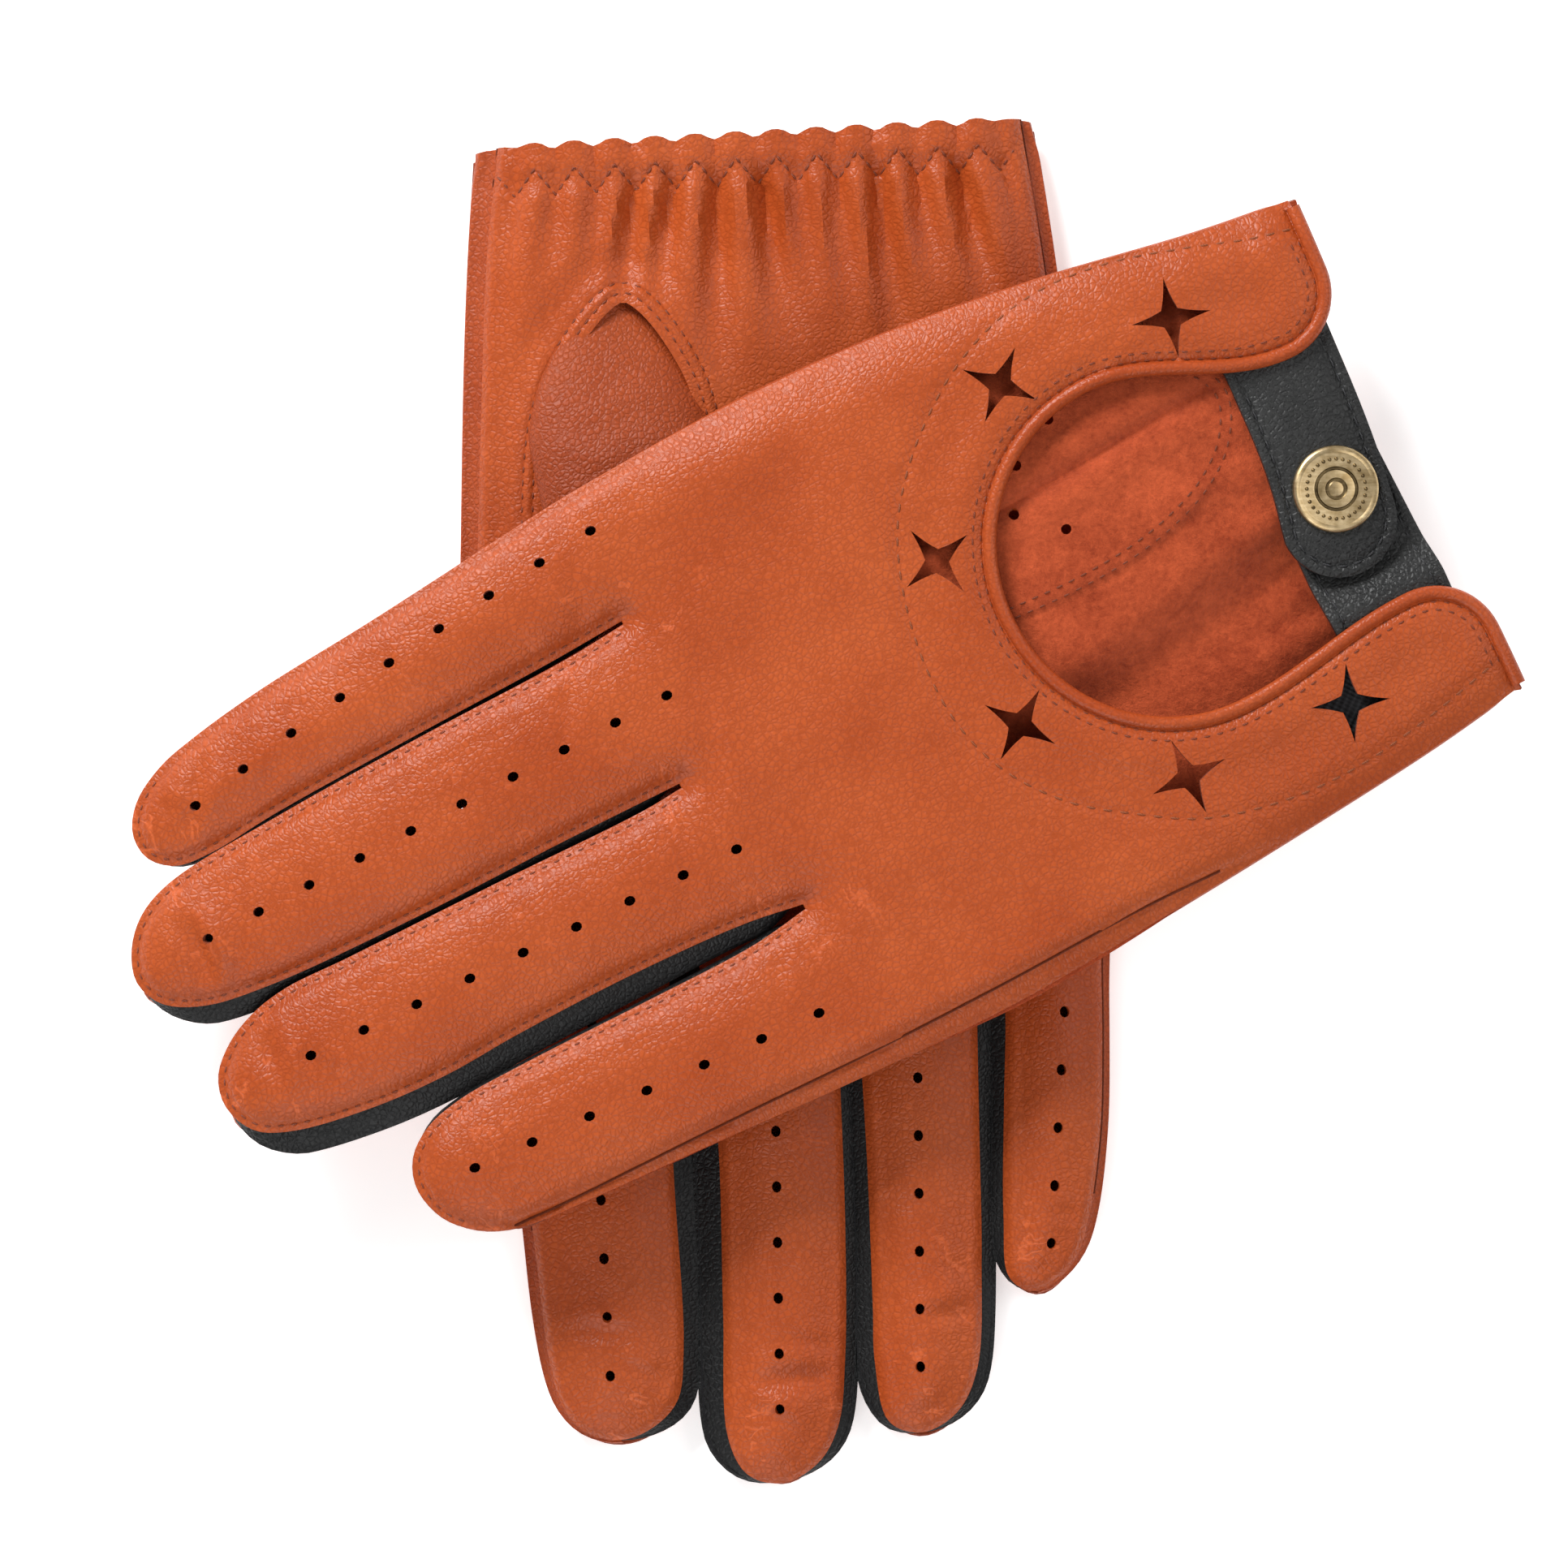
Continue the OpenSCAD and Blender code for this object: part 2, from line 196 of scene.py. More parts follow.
rightBack = {
    "little": [(0.6, 48.4), (28, 51), (60, 53), (90, 55), (118, 56), (133, 55.4), (148.7, 53.8),
               (176, 52), (192, 49), (200, 45), (204, 38.8), (202.6, 33.5), (196, 30.8), (176, 31.6),
               (150, 32.6), (130, 33)],
    "ring": [(130, 32.2), (150, 32), (176, 31), (205, 29.8), (220, 27), (226, 22), (227.5, 16),
             (225, 10), (216, 7.4), (200, 7.3), (176, 8), (150, 7.9), (138, 7.6)],
    "middle": [(138, 6.8), (150, 6.9), (176, 7), (205, 6), (225, 3.4), (232, -1.6), (234.5, -8),
               (232, -15), (225, -19), (204, -19.8), (176, -19.6), (150, -19.6), (137, -20.2)],
    "index": [(137, -21), (150, -20.8), (176, -20.8), (205, -21.2), (219, -23.4), (225, -30),
              (226, -37), (223.6, -43.5), (217, -48), (205, -50.5), (187, -51.6), (160, -53),
              (133, -56), (104, -57.4), (69, -55), (40, -53), (18, -51), (0.6, -49)],
}
rightPalm = {
    "little": [(0, 46), (28, 49), (60, 51), (90, 53), (118, 54), (133, 53.4), (144, 52.2), (161, 51.4),
               (176, 50.2), (190, 47.6), (197, 45.2), (201.4, 41.5), (203.2, 36.8), (200.6, 33),
               (190, 32.6), (170, 33.8), (154, 34.9), (140, 34.4), (131, 33.4)],
    "ring": [(131, 31.8), (140, 30.6), (154, 30), (176, 29.2), (197, 28.4), (216, 26.6), (223.4, 22.7),
             (226.6, 16.3), (224.4, 10.8), (214, 8.9), (204, 9.1), (176, 9.5), (150, 9.1), (139, 8.1)],
    "middle": [(139, 6.2), (150, 5.9), (166, 5.6), (190, 5.1), (213, 3.8), (224.5, 2), (230.6, -1.6),
               (234, -8), (232.4, -14), (226, -17.2), (204, -16.9), (176, -16.1), (150, -16.9),
               (138, -18.6)],
    "index": [(138, -21.8), (150, -23.4), (178, -24.1), (210, -24.1), (219, -25.8), (223.6, -31),
              (225, -36.6), (223, -42.3), (218.6, -45.6), (211, -47.4), (197, -48.5), (186, -49.2),
              (160, -50.8), (133, -53.4), (104, -54.6), (69, -52), (47, -50.2), (18.6, -47.6),
              (0, -44.6)],
}
fingerNames = ("little", "ring", "middle", "index")


def movedFingers(outline, lean, narrow, fingersOnly=False):
    # the same panel with narrower fingers that lean sideways towards the little finger
    moved = {}
    for name, points in outline.items():
        s, t = np.array(points, float).T
        inset = np.where(s > 125, narrow, 0.4) * (rise(s, 120, 140) if fingersOnly else 1)
        aside = rise(s, 126, 170) * lean[name] - np.sign(t - t[s.argmax()]) * inset
        moved[name] = np.column_stack([s, t + aside])
    return moved


outlines = {
    ("left", "back"): leftBack,
    ("left", "palm"): movedFingers(leftBack, {"little": 0.8, "ring": 3.2, "middle": 2.6, "index": 0.9}, 1.6),
    ("right", "back"): movedFingers(rightBack, dict.fromkeys(fingerNames, 0), 1.1, True),
    ("right", "palm"): rightPalm,
}
fingerCurves = {key: {f: smoothCurve(v) for f, v in value.items()} for key, value in outlines.items()}

# The keyhole cut-out in the back
cutout = {"wrist": 0.6, "flare": 12, "neck": 22.5, "bulbAt": 46.6, "shift": -3.0, "half": 29.5, "reach": 75.4}
bead = {"width": 2.3, "radius": 1.22, "sunk": 0.75}


def cutoutHalf(turn, grow):
    # one side of the cut-out: its bulb, its neck and the flare into the wrist edge
    neckAt = cutout["wrist"] + cutout["flare"]
    a = np.radians(np.arange(0, 90, 4))
    bulb = (cutout["bulbAt"] + (cutout["reach"] - cutout["bulbAt"] + grow) * np.cos(a),
            cutout["shift"] + turn * (cutout["half"] + grow) * np.sin(a))
    x = np.linspace(1, 0, 22)
    blend = (1 - np.cos(np.pi * x)) / 2
    widths = cutout["neck"] + grow + (cutout["half"] - cutout["neck"]) * blend
    neck = (neckAt + (cutout["bulbAt"] - neckAt) * x, cutout["shift"] * blend + turn * widths)
    b = np.radians(np.arange(6, 91, 6))
    r = cutout["flare"] - grow
    flare = (neckAt - r * np.sin(b), turn * (cutout["neck"] + cutout["flare"] - r * np.cos(b)))
    return np.vstack([np.column_stack(part) for part in (bulb, neck, flare)])


def cutoutCurve(grow, step):
    # from the little-finger side's wrist end round to the thumb side's
    plus, minus = cutoutHalf(1, grow), cutoutHalf(-1, grow)
    end = cutout["wrist"] + grow
    whole = np.vstack([[(end, 46.2)], plus[::-1], minus[1:], [(end - 0.6, -46.8)]])
    return evenly(whole, step=step)


def openOutline(side, layer, step=2.2):
    # a panel's outer edge without the wrist end
    curves = fingerCurves[(side, layer)]
    return np.vstack([evenly(curves[f], step=step) for f in fingerNames])


def outlineLoop(side, layer, step=1.5):
    # closed outline of a panel; the back's goes round the cut-out's bound edge
    loop = openOutline(side, layer, step)
    if layer == "back":
        loop = np.vstack([loop[1:-1], cutoutCurve(bead["width"] * 0.55, step=step)[::-1]])
    return loop


outerEdges = {key: openOutline(*key) for key in outlines}
cutoutEdge = cutoutCurve(0, step=2.0)

# Star cut-outs: centre, turn of an arm, in the flat frame
stars = {"span": 13.8, "waist": 2.05, "bow": 0.35,
         "places": [(29.7, 35.3, 71), (60.3, 34.4, 0), (82.4, 13.7, 35), (82.9, -17.7, 15), (60, -40.1, 42),
                    (28.6, -37.6, -15)]}


def starLoop(place):
    # four arms with slightly hollow sides
    s, t, turn = place
    corners = []
    for i in range(8):
        r = stars["waist"] if i % 2 else stars["span"] / 2
        a = math.radians(turn + 45 * i)
        corners.append((r * math.cos(a), r * math.sin(a)))
    loop = []
    for i in range(8):
        a, b = np.array(corners[i]), np.array(corners[(i + 1) % 8])
        for k in np.linspace(0, 1, 5, endpoint=False):
            pull = 1 - stars["bow"] * 0.25 * math.sin(math.pi * k)
            loop.append((a + (b - a) * k) * pull)
    return np.array(loop) + (s, t)


# Vents along the fingers: the first, the last, how many, and how far the row sags
vents = {
    ("left", "back"): [((135, 43), (199.6, 41), 7, 0), ((135.4, 11.6), (216.6, 11.4), 9, 0),
                       ((134.6, -17.3), (223.9, -14.4), 10, 0), ((134, -48.4), (215.9, -35.9), 9, 1.1)],
    ("left", "palm"): [((152, 42), (196, 41), 5, 0), ((152, 12), (214, 15), 7, 0),
                       ((152, -16), (220, -12), 7, 0), ((152, -44), (212, -37), 7, 0)],
    ("right", "back"): [((140, 42), (188, 39.5), 6, 0), ((139, 24.5), (209, 22), 8, 0),
                        ((139, -9), (214, -11.5), 8, 0), ((140, -42), (204, -40), 7, 0)],
    ("right", "palm"): [((145, 46.2), (195, 40.6), 6, 0), ((145, 20), (215, 16.7), 8, 0),
                        ((144, -4.8), (221, -8), 9, 0), ((152.5, -36.8), (213.6, -37), 7, 0)],
}
ventSize = 0.95


def ventHole(at, wide=1.06, tall=0.9):
    a = np.radians(np.arange(0, 360, 36))
    return np.asarray(at) + ventSize * np.column_stack([np.cos(a) * wide, np.sin(a) * tall])


def ventLoops(side, layer):
    loops = []
    for first, last, count, sag in vents[(side, layer)]:
        for k in np.linspace(0, 1, count):
            at = np.array(first) * (1 - k) + np.array(last) * k
            loops.append(ventHole(at - (0, sag * 4 * k * (1 - k))))
    return loops


# Relief of the panels


def waves(p, length, seed, octaves=3):
    # smooth seeded unevenness of the leather
    s, t = p.T
    rng = np.random.default_rng(seed)
    total = np.zeros(len(p))
    for k in range(octaves):
        for _ in range(5):
            turn, phase = rng.uniform(0, 2 * np.pi, 2)
            wave = 2 * np.pi / (length / 1.8 ** k)
            total += np.sin((s * np.cos(turn) + t * np.sin(turn)) * wave + phase) / 1.9 ** k
    return total / 5


thumbVents = [(60.5, -13), (67.5, -19), (63.5, -26.5), (55, -31.3)]
# How far from its edge each panel starts to roll over, and how far down it goes
edgeRoll = {("left", "back"): (11.5, 3.1), ("left", "palm"): (10, 2.4), ("right", "back"): (9, 2.4),
            ("right", "palm"): (9.8, 3.6)}
thumbArch = {"apex": (27.9, -24.4),
             "thumbSide": [(29.2, -26.8), (32.3, -29.9), (36.3, -33), (41, -35.8), (46.5, -38), (52, -39.3),
                           (64, -40.6), (76, -40.8)],
             "palmSide": [(29.2, -22.2), (32.3, -19.5), (37.3, -16.4), (43, -13.8), (51, -12), (64, -10.6),
                          (76, -10)]}


def archCurve(grow, last, step):
    # the thumb hole's seam, from its thumb side over the apex to its palm side
    a = np.array(thumbArch["thumbSide"][::-1] + [thumbArch["apex"]] + thumbArch["palmSide"], float)
    a = a[a[:, 0] <= last]
    p = evenly(smoothCurve(a), step=step)
    return p + outward(p) * grow


# Seam lines on the panels
facingLine = smoothCurve([(4.3, 40), (18.6, 43.4), (33, 45.6), (47, 45.3), (61, 42), (71, 36.3), (81, 29),
                          (88.6, 19), (92, 9), (92.6, -2.3), (90.6, -15), (86.4, -26), (80, -34.6),
                          (73, -41), (65, -46.4), (55, -50.4), (45, -51.8), (33, -50.6), (20, -47),
                          (10, -43.8), (2.9, -42.3)])
foldLine = smoothCurve([(42, 51.4), (52, 51.6), (64, 51.3), (76, 51.2), (104, 52.4), (130, 53), (160, 53),
                        (186, 53.2), (198, 53)])
beadLines = [cutoutCurve(grow, 1.0)[5:-5] for grow in (2.75, 4.1)]
innerSeam = smoothCurve([(40, -33.5), (31, -30.5), (26.5, -26), (25.5, -21), (29, -14), (35, -9), (43, -5.6),
                         (52, -3.6), (63, -2.8), (78, -3.2)])
innerFold = smoothCurve([(30, -0.5), (40, 2.4), (52, 4.6), (66, 7.2), (80, 9)])
innerPleat = smoothCurve([(28, -24), (40, -23), (55, -21.6), (72, -20.8), (84, -21.6)])

# The gathered wrist: its folds, the groove they meet at, and the zigzag seam of the elastic
gather = {"pitch": 7.0, "count": 6, "line": 6.6, "from": 4.2, "to": 8.9}
chance = np.random.default_rng(11)
pleats = [{"at": k * gather["pitch"], "deep": chance.uniform(1.3, 4.2), "long": chance.uniform(22, 60),
           "lean": chance.uniform(-0.1, 0.1)} for k in range(-gather["count"], gather["count"] + 1)]
zigzag = np.array([(gather["to" if k % 2 else "from"], (k - 2 * gather["count"] - 1) * gather["pitch"] / 2)
                   for k in range(4 * gather["count"] + 3)])
wristHalf = 46


def wristLine(side, t):
    # how far the elastic draws the palm's wrist edge in, seen on the upper glove
    return 8.5 * rise(wristHalf - np.abs(t), 0, 16) * (side == "left")


def gathers(p):
    # folds of the elasticated wrist: rounded lobes at its edge, and valleys that run out over the palm
    s, t = p.T
    inside = rise(wristHalf - np.abs(t), 0, 5)
    lift = 0.95 * (1 - rise(s, 14, 44)) * inside
    for pleat in pleats:
        line = pleat["at"] * (1 + 0.007 * np.maximum(s - 6, 0)) + pleat["lean"] * s
        narrow = hump((t - line) / 2.1)
        wide = hump((t - line) / (2.1 + 0.09 * s))
        lift -= 1.15 * narrow * (1 - rise(s, 4, 9)) * inside
        lift -= pleat["deep"] * wide * rise(s, 5, 10) * (1 - rise(s, 12, pleat["long"])) * inside
    return lift - 0.55 * hump((s - gather["line"]) / 2.6) * inside


fingerMarks = {}
for key, curves in fingerCurves.items():
    tips = [c[np.argmax(c[:, 0])] for c in curves.values()]
    roots = [curves[f][0] for f in fingerNames[1:]]
    fingerMarks[key] = (tips, roots)


def wornAt(side, layer, p):
    # 1 where the leather is crumpled: fingertips, and the roots of the fingers
    s, t = p.T
    tips, roots = fingerMarks[(side, layer)]
    worn = np.full(len(p), 0.12)
    for tipAt, middle in tips:
        worn = np.maximum(worn, hump(np.hypot(s - tipAt, (t - middle) * 0.8) / 30))
    for rootAt, middle in roots:
        worn = np.maximum(worn, 0.85 * hump(np.hypot((s - rootAt) / 26, (t - middle) / 17)))
    return np.clip(np.maximum(worn, hump((s - 172) / 14) * 0.45), 0, 1)


# Single folds and dents: where, the way they run, length, width, depth
dentMarks = {
    ("left", "back"): [(226.5, -13, 92, 9, 3.2, 1.5), (221, -8, 68, 8, 2.0, 0.5),
                       (214.5, -38, 55, 9, 2.4, 0.9), (219, -35.5, 110, 6, 1.8, 0.6),
                       (205, -33, 20, 12, 2.2, 0.45), (223, 9, 75, 8, 3.0, 0.7),
                       (215, 15, 120, 9, 2.2, 0.45), (196, 45, 45, 9, 1.5, 0.35),
                       (186, 38, 75, 7, 1.3, 0.3), (150, -24, 60, 14, 2.4, 0.4),
                       (144, 10, 70, 13, 2.2, 0.35), (142, -36, 65, 12, 2.4, 0.35),
                       (137, 31, 70, 13, 2.4, 0.4), (131, -8, 80, 16, 3, 0.35),
                       (176, -40, 70, 9, 1.6, 0.3), (166, 10, 80, 9, 1.5, 0.25),
                       (40, -38, 30, 10, 1.8, 0.3), (32, 30, 100, 8, 1.6, 0.25)],
    ("right", "palm"): [(216, -5, 88, 10, 3.0, 1.0), (210, -1, 70, 8, 1.8, 0.5),
                        (222, -10, 60, 7, 2.2, 0.6), (206, -38, 80, 9, 2.6, 0.7),
                        (213, -32, 55, 8, 2.0, 0.6), (206, 22, 95, 9, 2.6, 0.7),
                        (199, 27, 70, 8, 1.8, 0.45), (186, 13, 85, 8, 1.7, 0.35),
                        (190, 43, 80, 7, 2.0, 0.4), (176, 36, 75, 7, 1.5, 0.3),
                        (165, -30, 80, 8, 1.6, 0.3), (160, 2, 85, 8, 1.6, 0.3)],
}


def dents(side, layer, p):
    total = np.zeros(len(p))
    for s, t, turn, length, width, deep in dentMarks.get((side, layer), []):
        c, q = math.cos(math.radians(turn)), math.sin(math.radians(turn))
        ds, dt = (p - (s, t)).T
        along, across = ds * c + dt * q, dt * c - ds * q
        across = across + 0.015 * along ** 2
        beside = hump((across - width * 1.25) / width)
        total += deep * hump(along / length) * (hump(across / width) - 0.45 * beside)
    return total


def softFolds(side, layer, p):
    # broad unevenness, and shorter folds where the leather is worn
    seed = foldSeeds[(side, layer)]
    worn = wornAt(side, layer, p)
    return 0.34 * waves(p, 44, seed) + 0.55 * worn ** 1.3 * waves(p * (1, 0.35), 11, seed + 20, 2)


# Ridges and grooves beside the panels' lines: height, distance from the line and half width
relief = {
    "backSeam": [(0.34, 1.25, 0.85), (-0.3, 3.2, 2.2)],
    "fold": [(0.75, 0, 0.9), (-0.35, 2.4, 2)],
    "facingLine": [(0.26, 0, 0.9)],
    "beadLine": [(0.17, 0, 0.7)],
    "cutout": [(0.5, bead["width"], 1), (-0.45, 6.5, 5), (-0.35, 26, 12)],
    "palmSeam": [(0.45, 1.3, 1.6)],
    "zigzag": [(-0.4, 0, 0.8)],
    "thumbHole": [(0.9, 1.6, 3.4), (-0.45, 7.5, 3.5), (-0.42, 1.5, 0.7), (-0.42, 3.4, 0.7)],
    "innerPleat": [(1.1, 0, 2.2), (-0.5, 4, 3.5)],
}
foldSeeds = {("right", "back"): 4, ("left", "back"): 3, ("right", "palm"): 8, ("left", "palm"): 7}


def ridges(kind, d):
    return sum(high * hump((d - at) / half) for high, at, half in relief[kind])


def backDepth(side, p):
    # outer face of the back panel
    s, t = p.T
    reach, drop = edgeRoll[(side, "back")]
    d = edgeDistance(p, outerEdges[(side, "back")])
    cut = edgeDistance(p, cutoutEdge)
    depth = drop * (1 - np.clip(d / reach, 0, 1)) ** 2.3
    depth += ridges("backSeam", d) * rise(s, 112, 128) * ~((t > 46) & (s < 190))
    if side == "left":
        # its folded side stands up along the fold line, and lies flat beyond it
        beyond = t - np.interp(s, *foldLine.T)
        flap = 0.8 * rise(beyond, -0.2, 0.6) * (1 - rise(s, 165, 192))
        depth += (ridges("fold", edgeDistance(p, foldLine)) + flap) * rise(s, 38, 80)
    depth += ridges("facingLine", edgeDistance(p, facingLine)) + ridges("cutout", cut)
    for line in beadLines:
        depth += ridges("beadLine", edgeDistance(p, line))
    depth += softFolds(side, "back", p) * rise(cut, 2, 14) * rise(d, 1, 6)
    depth += dents(side, "back", p) * rise(d, 0.5, 4)
    return np.maximum(depth, 0.0 if side == "right" else -0.9)


def palmDepth(side, p):
    # outer face of the palm panel
    s, t = p.T
    reach, drop = edgeRoll[(side, "palm")]
    d = edgeDistance(p, outerEdges[(side, "palm")])
    depth = leather["height"] - drop * (1 - np.clip(d / reach, 0, 1)) ** 2.1
    depth += ridges("palmSeam", d) * rise(d, 0, 0.8)
    drawn = p - np.outer(wristLine(side, t), (1, 0))
    depth += gathers(drawn) * (1 if side == "right" else 0.3) + ridges("zigzag", edgeDistance(drawn, zigzag))
    depth += softFolds(side, "palm", p) * rise(d, 1, 6) - dents(side, "palm", p) * rise(d, 0.5, 4)
    if side == "right":
        # the turned edge stands up round the thumb hole, and the palm is hollow beside it
        hole = ridges("thumbHole", edgeDistance(p, archCurve(0, 76, 2.5)))
        return depth + hole * rise(d, 1, 5) - 0.9 * hump((s - 62) / 30) * hump((t - 8) / 26)
    # the upper glove's palm is pushed up by the thumb below it, seen through the cut-out
    raised = rise(d, 2, 16) * (1 - rise(s, 100, 135)) * rise(s, 8, 26)
    push = 4.9 - 4.3 * rise(t - np.interp(s, *innerFold.T), -1.5, 11)
    push += 0.75 * rise(np.interp(s, *innerSeam[40:].T) - t, -0.9, 0.9)
    return depth + (ridges("innerPleat", edgeDistance(p, innerPleat)) - push) * raised


# Building thick sheets


def newPiece(name, verts, faces, materials):
    mesh = bpy.data.meshes.new(name)
    mesh.from_pydata([tuple(v) for v in verts], [], [tuple(f) for f in faces])
    for m in materials:
        mesh.materials.append(m)
    mesh.update()
    piece = bpy.data.objects.new(name, mesh)
    bpy.context.collection.objects.link(piece)
    return piece


def attach(piece, side, slotName, *nodes, body="_glove"):
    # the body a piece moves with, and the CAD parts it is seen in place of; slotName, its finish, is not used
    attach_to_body(piece, side + body)
    if nodes:
        hideNodes(piece, side, *nodes)


def hideNodes(piece, side, *nodes):
    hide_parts(*[side + "_" + n for n in nodes])


def finishPiece(piece, modifiers=(), angle=42):
    bpy.ops.object.select_all(action="DESELECT")
    piece.select_set(True)
    bpy.context.view_layer.objects.active = piece
    for kind, settings in modifiers:
        mod = piece.modifiers.new(kind.title(), kind)
        for key, value in settings.items():
            setattr(mod, key, value)
        bpy.ops.object.modifier_apply(modifier=mod.name)
    bpy.ops.object.shade_smooth_by_angle(angle=math.radians(angle))
    piece.select_set(False)
    return piece


def faceTowards(piece, target):
    # turns the faces so that most of them look along target
    if sum(p.normal.dot(Vector(target)) * p.area for p in piece.data.polygons) < 0:
        piece.data.flip_normals()


def nearRows(loop, offsets):
    # points beside a closed loop, inside it
    ahead, behind = np.roll(loop, -1, axis=0), np.roll(loop, 1, axis=0)
    area = (loop[:, 0] * ahead[:, 1] - ahead[:, 0] * loop[:, 1]).sum()
    d = (ahead - behind) * math.copysign(1, area)
    n = np.stack([-d[:, 1], d[:, 0]], axis=1) / np.maximum(np.linalg.norm(d, axis=1, keepdims=True), 1e-9)
    rows = []
    for offset in offsets:
        p = loop + n * offset
        rows.append(p[insideOf(loop, p) & (edgeDistance(p, loop, True) > offset * 0.86)])
    return np.vstack(rows)


def seamRows(curves, step=1.1, apart=0.75):
    # points along and beside the seam lines, so that their grooves come out sharp
    rows = []
    for curve in curves:
        p = evenly(curve, step=step)
        n = outward(p)
        rows += [p + n * k for k in (-apart, 0, apart)]
    return np.vstack(rows)


def thinOut(points, near):
    # drops the points that crowd one another
    kept, taken = [], set()
    for p in points:
        cell = (int(p[0] // near), int(p[1] // near))
        if cell not in taken:
            taken.add(cell)
            kept.append(p)
    return np.array(kept)


def fillSheet(loop, holes, grid, offsets=(0.55, 1.2, 1.9, 2.8), seams=()):
    # even triangles inside the loop and outside the holes, finer beside the edge and the seams
    edges, start = [], 0
    for ring in [loop] + list(holes):
        n = len(ring)
        edges += [(start + i, start + (i + 1) % n) for i in range(n)]
        start += n
    low, high = loop.min(axis=0), loop.max(axis=0)
    rows = []
    for k, t in enumerate(np.arange(low[1], high[1], grid * 0.866)):
        s = np.arange(low[0] + (k % 2) * grid / 2, high[0], grid)
        rows.append(np.column_stack([s, np.full(len(s), t)]))
    inner = np.vstack(rows)
    clear = (offsets[-1] if offsets else 0) + grid * 0.5
    inner = inner[insideOf(loop, inner) & (edgeDistance(inner, loop, True) > clear)]
    if len(seams):
        rows = seamRows(seams)
        rows = rows[insideOf(loop, rows) & (edgeDistance(rows, loop, True) > clear)]
        for curve in seams:
            inner = inner[edgeDistance(inner, curve) > 0.75 + grid * 0.5]
        inner = np.vstack([inner, thinOut(rows, 0.55)])
    if offsets:
        inner = np.vstack([inner, thinOut(nearRows(loop, offsets), 0.4)])
    for hole in holes:
        near = np.linalg.norm(inner - hole.mean(axis=0), axis=1) < np.ptp(hole, axis=0).max() + grid
        bad = np.zeros(len(inner), bool)
        bad[near] = insideOf(hole, inner[near]) | (edgeDistance(inner[near], hole, True) < grid * 0.4)
        inner = inner[~bad]
    everything = np.vstack([loop] + list(holes) + [inner])
    result = geometry.delaunay_2d_cdt([Vector(p) for p in everything], edges, [], 0, 1e-5)
    verts = np.array([tuple(v) for v in result[0]])
    faces = np.array([f for f in result[2] if len(f) == 3])
    middle = verts[faces].mean(axis=1)
    good = insideOf(loop, middle)
    for hole in holes:
        near = np.linalg.norm(middle - hole.mean(axis=0), axis=1) < np.ptp(hole, axis=0).max() + 1
        good[near] &= ~insideOf(hole, middle[near])
    faces = faces[good]
    used, packed = np.unique(faces, return_inverse=True)
    return verts[used], packed.reshape(-1, 3)


def markLeather(piece, flat, worn):
    # the pattern's own coordinates, and how crumpled the leather is
    place = piece.data.attributes.new("flat", "FLOAT_VECTOR", "POINT")
    place.data.foreach_set("vector", (np.column_stack([flat, np.zeros(len(flat))]) * mm).ravel())
    mark = piece.data.attributes.new("worn", "FLOAT", "POINT")
    mark.data.foreach_set("value", np.asarray(worn, float))


def leatherSheet(name, side, flat, faces, depth, up, materials, thick=None, worn=None):
    # a flat sheet lifted to its depth and given the leather's thickness
    piece = newPiece(name, toWorld(side, *flat.T, depth), faces, materials)
    markLeather(piece, flat, np.zeros(len(flat)) if worn is None else worn)
    faceTowards(piece, (0, 0, 1 if up else -1))
    slots = {"thickness": (thick or leather["thick"]) * mm, "offset": -1.0, "use_even_offset": False,
             "material_offset": 1, "material_offset_rim": 2}
    return finishPiece(piece, [("SOLIDIFY", slots)])


# Shader helper: a socket with operators, and one method for every other node


class Wire:
    def __init__(self, tree, socket):
        self.tree = tree
        self.socket = socket

    def node(self, kind, settings=None, inputs=None, out=0):
        made = self.tree.nodes.new(kind)
        for key, value in (settings or {}).items():
            setattr(made, key, value)
        for key, value in (inputs or {}).items():
            if isinstance(value, Wire):
                self.tree.links.new(value.socket, made.inputs[key])
            else:
                made.inputs[key].default_value = value
        return Wire(self.tree, made.outputs[out])

    def __add__(self, other):
        kind = "ShaderNodeVectorMath" if self.socket.type == "VECTOR" else "ShaderNodeMath"
        return self.node(kind, {"operation": "ADD"}, {0: self, 1: other})

    __radd__ = __add__

    def __mul__(self, other):
        return self.node("ShaderNodeMath", {"operation": "MULTIPLY"}, {0: self, 1: other})

    def __rsub__(self, other):
        return self.node("ShaderNodeMath", {"operation": "SUBTRACT"}, {0: other, 1: self})


def startMaterial(name, attribute=None):
    made = bpy.data.materials.new(name)
    made.use_nodes = True
    tree = made.node_tree
    tree.nodes.clear()
    place = Wire(tree, tree.nodes.new("ShaderNodeTexCoord").outputs["Object"])
    if attribute:
        place = place.node("ShaderNodeAttribute", {"attribute_name": attribute}, out=1)
    return made, place


def mixTones(mask, dark, light):
    return mask.node("ShaderNodeMix", {"data_type": "RGBA"}, {0: mask, 6: dark, 7: light}, out=2)


def stretched(place, scale):
    return place.node("ShaderNodeMapping", {}, {"Vector": place, "Scale": scale})


def noise(place, scale, detail=3.0, rough=0.55):
    return place.node("ShaderNodeTexNoise", {}, {"Vector": place, "Scale": scale, "Detail": detail,
                                                  "Roughness": rough})


def cells(place, scale, feature="F1"):
    return place.node("ShaderNodeTexVoronoi", {"feature": feature}, {"Vector": place, "Scale": scale})


def stripes(place, direction, scale, distortion):
    return place.node("ShaderNodeTexWave", {"wave_type": "BANDS", "bands_direction": direction},
                      {"Vector": place, "Scale": scale, "Distortion": distortion, "Detail": 1})


def band(mask, low, high):
    return mask.node("ShaderNodeMapRange", {}, {0: mask, 1: low, 2: high, 3: 0.0, 4: 1.0})


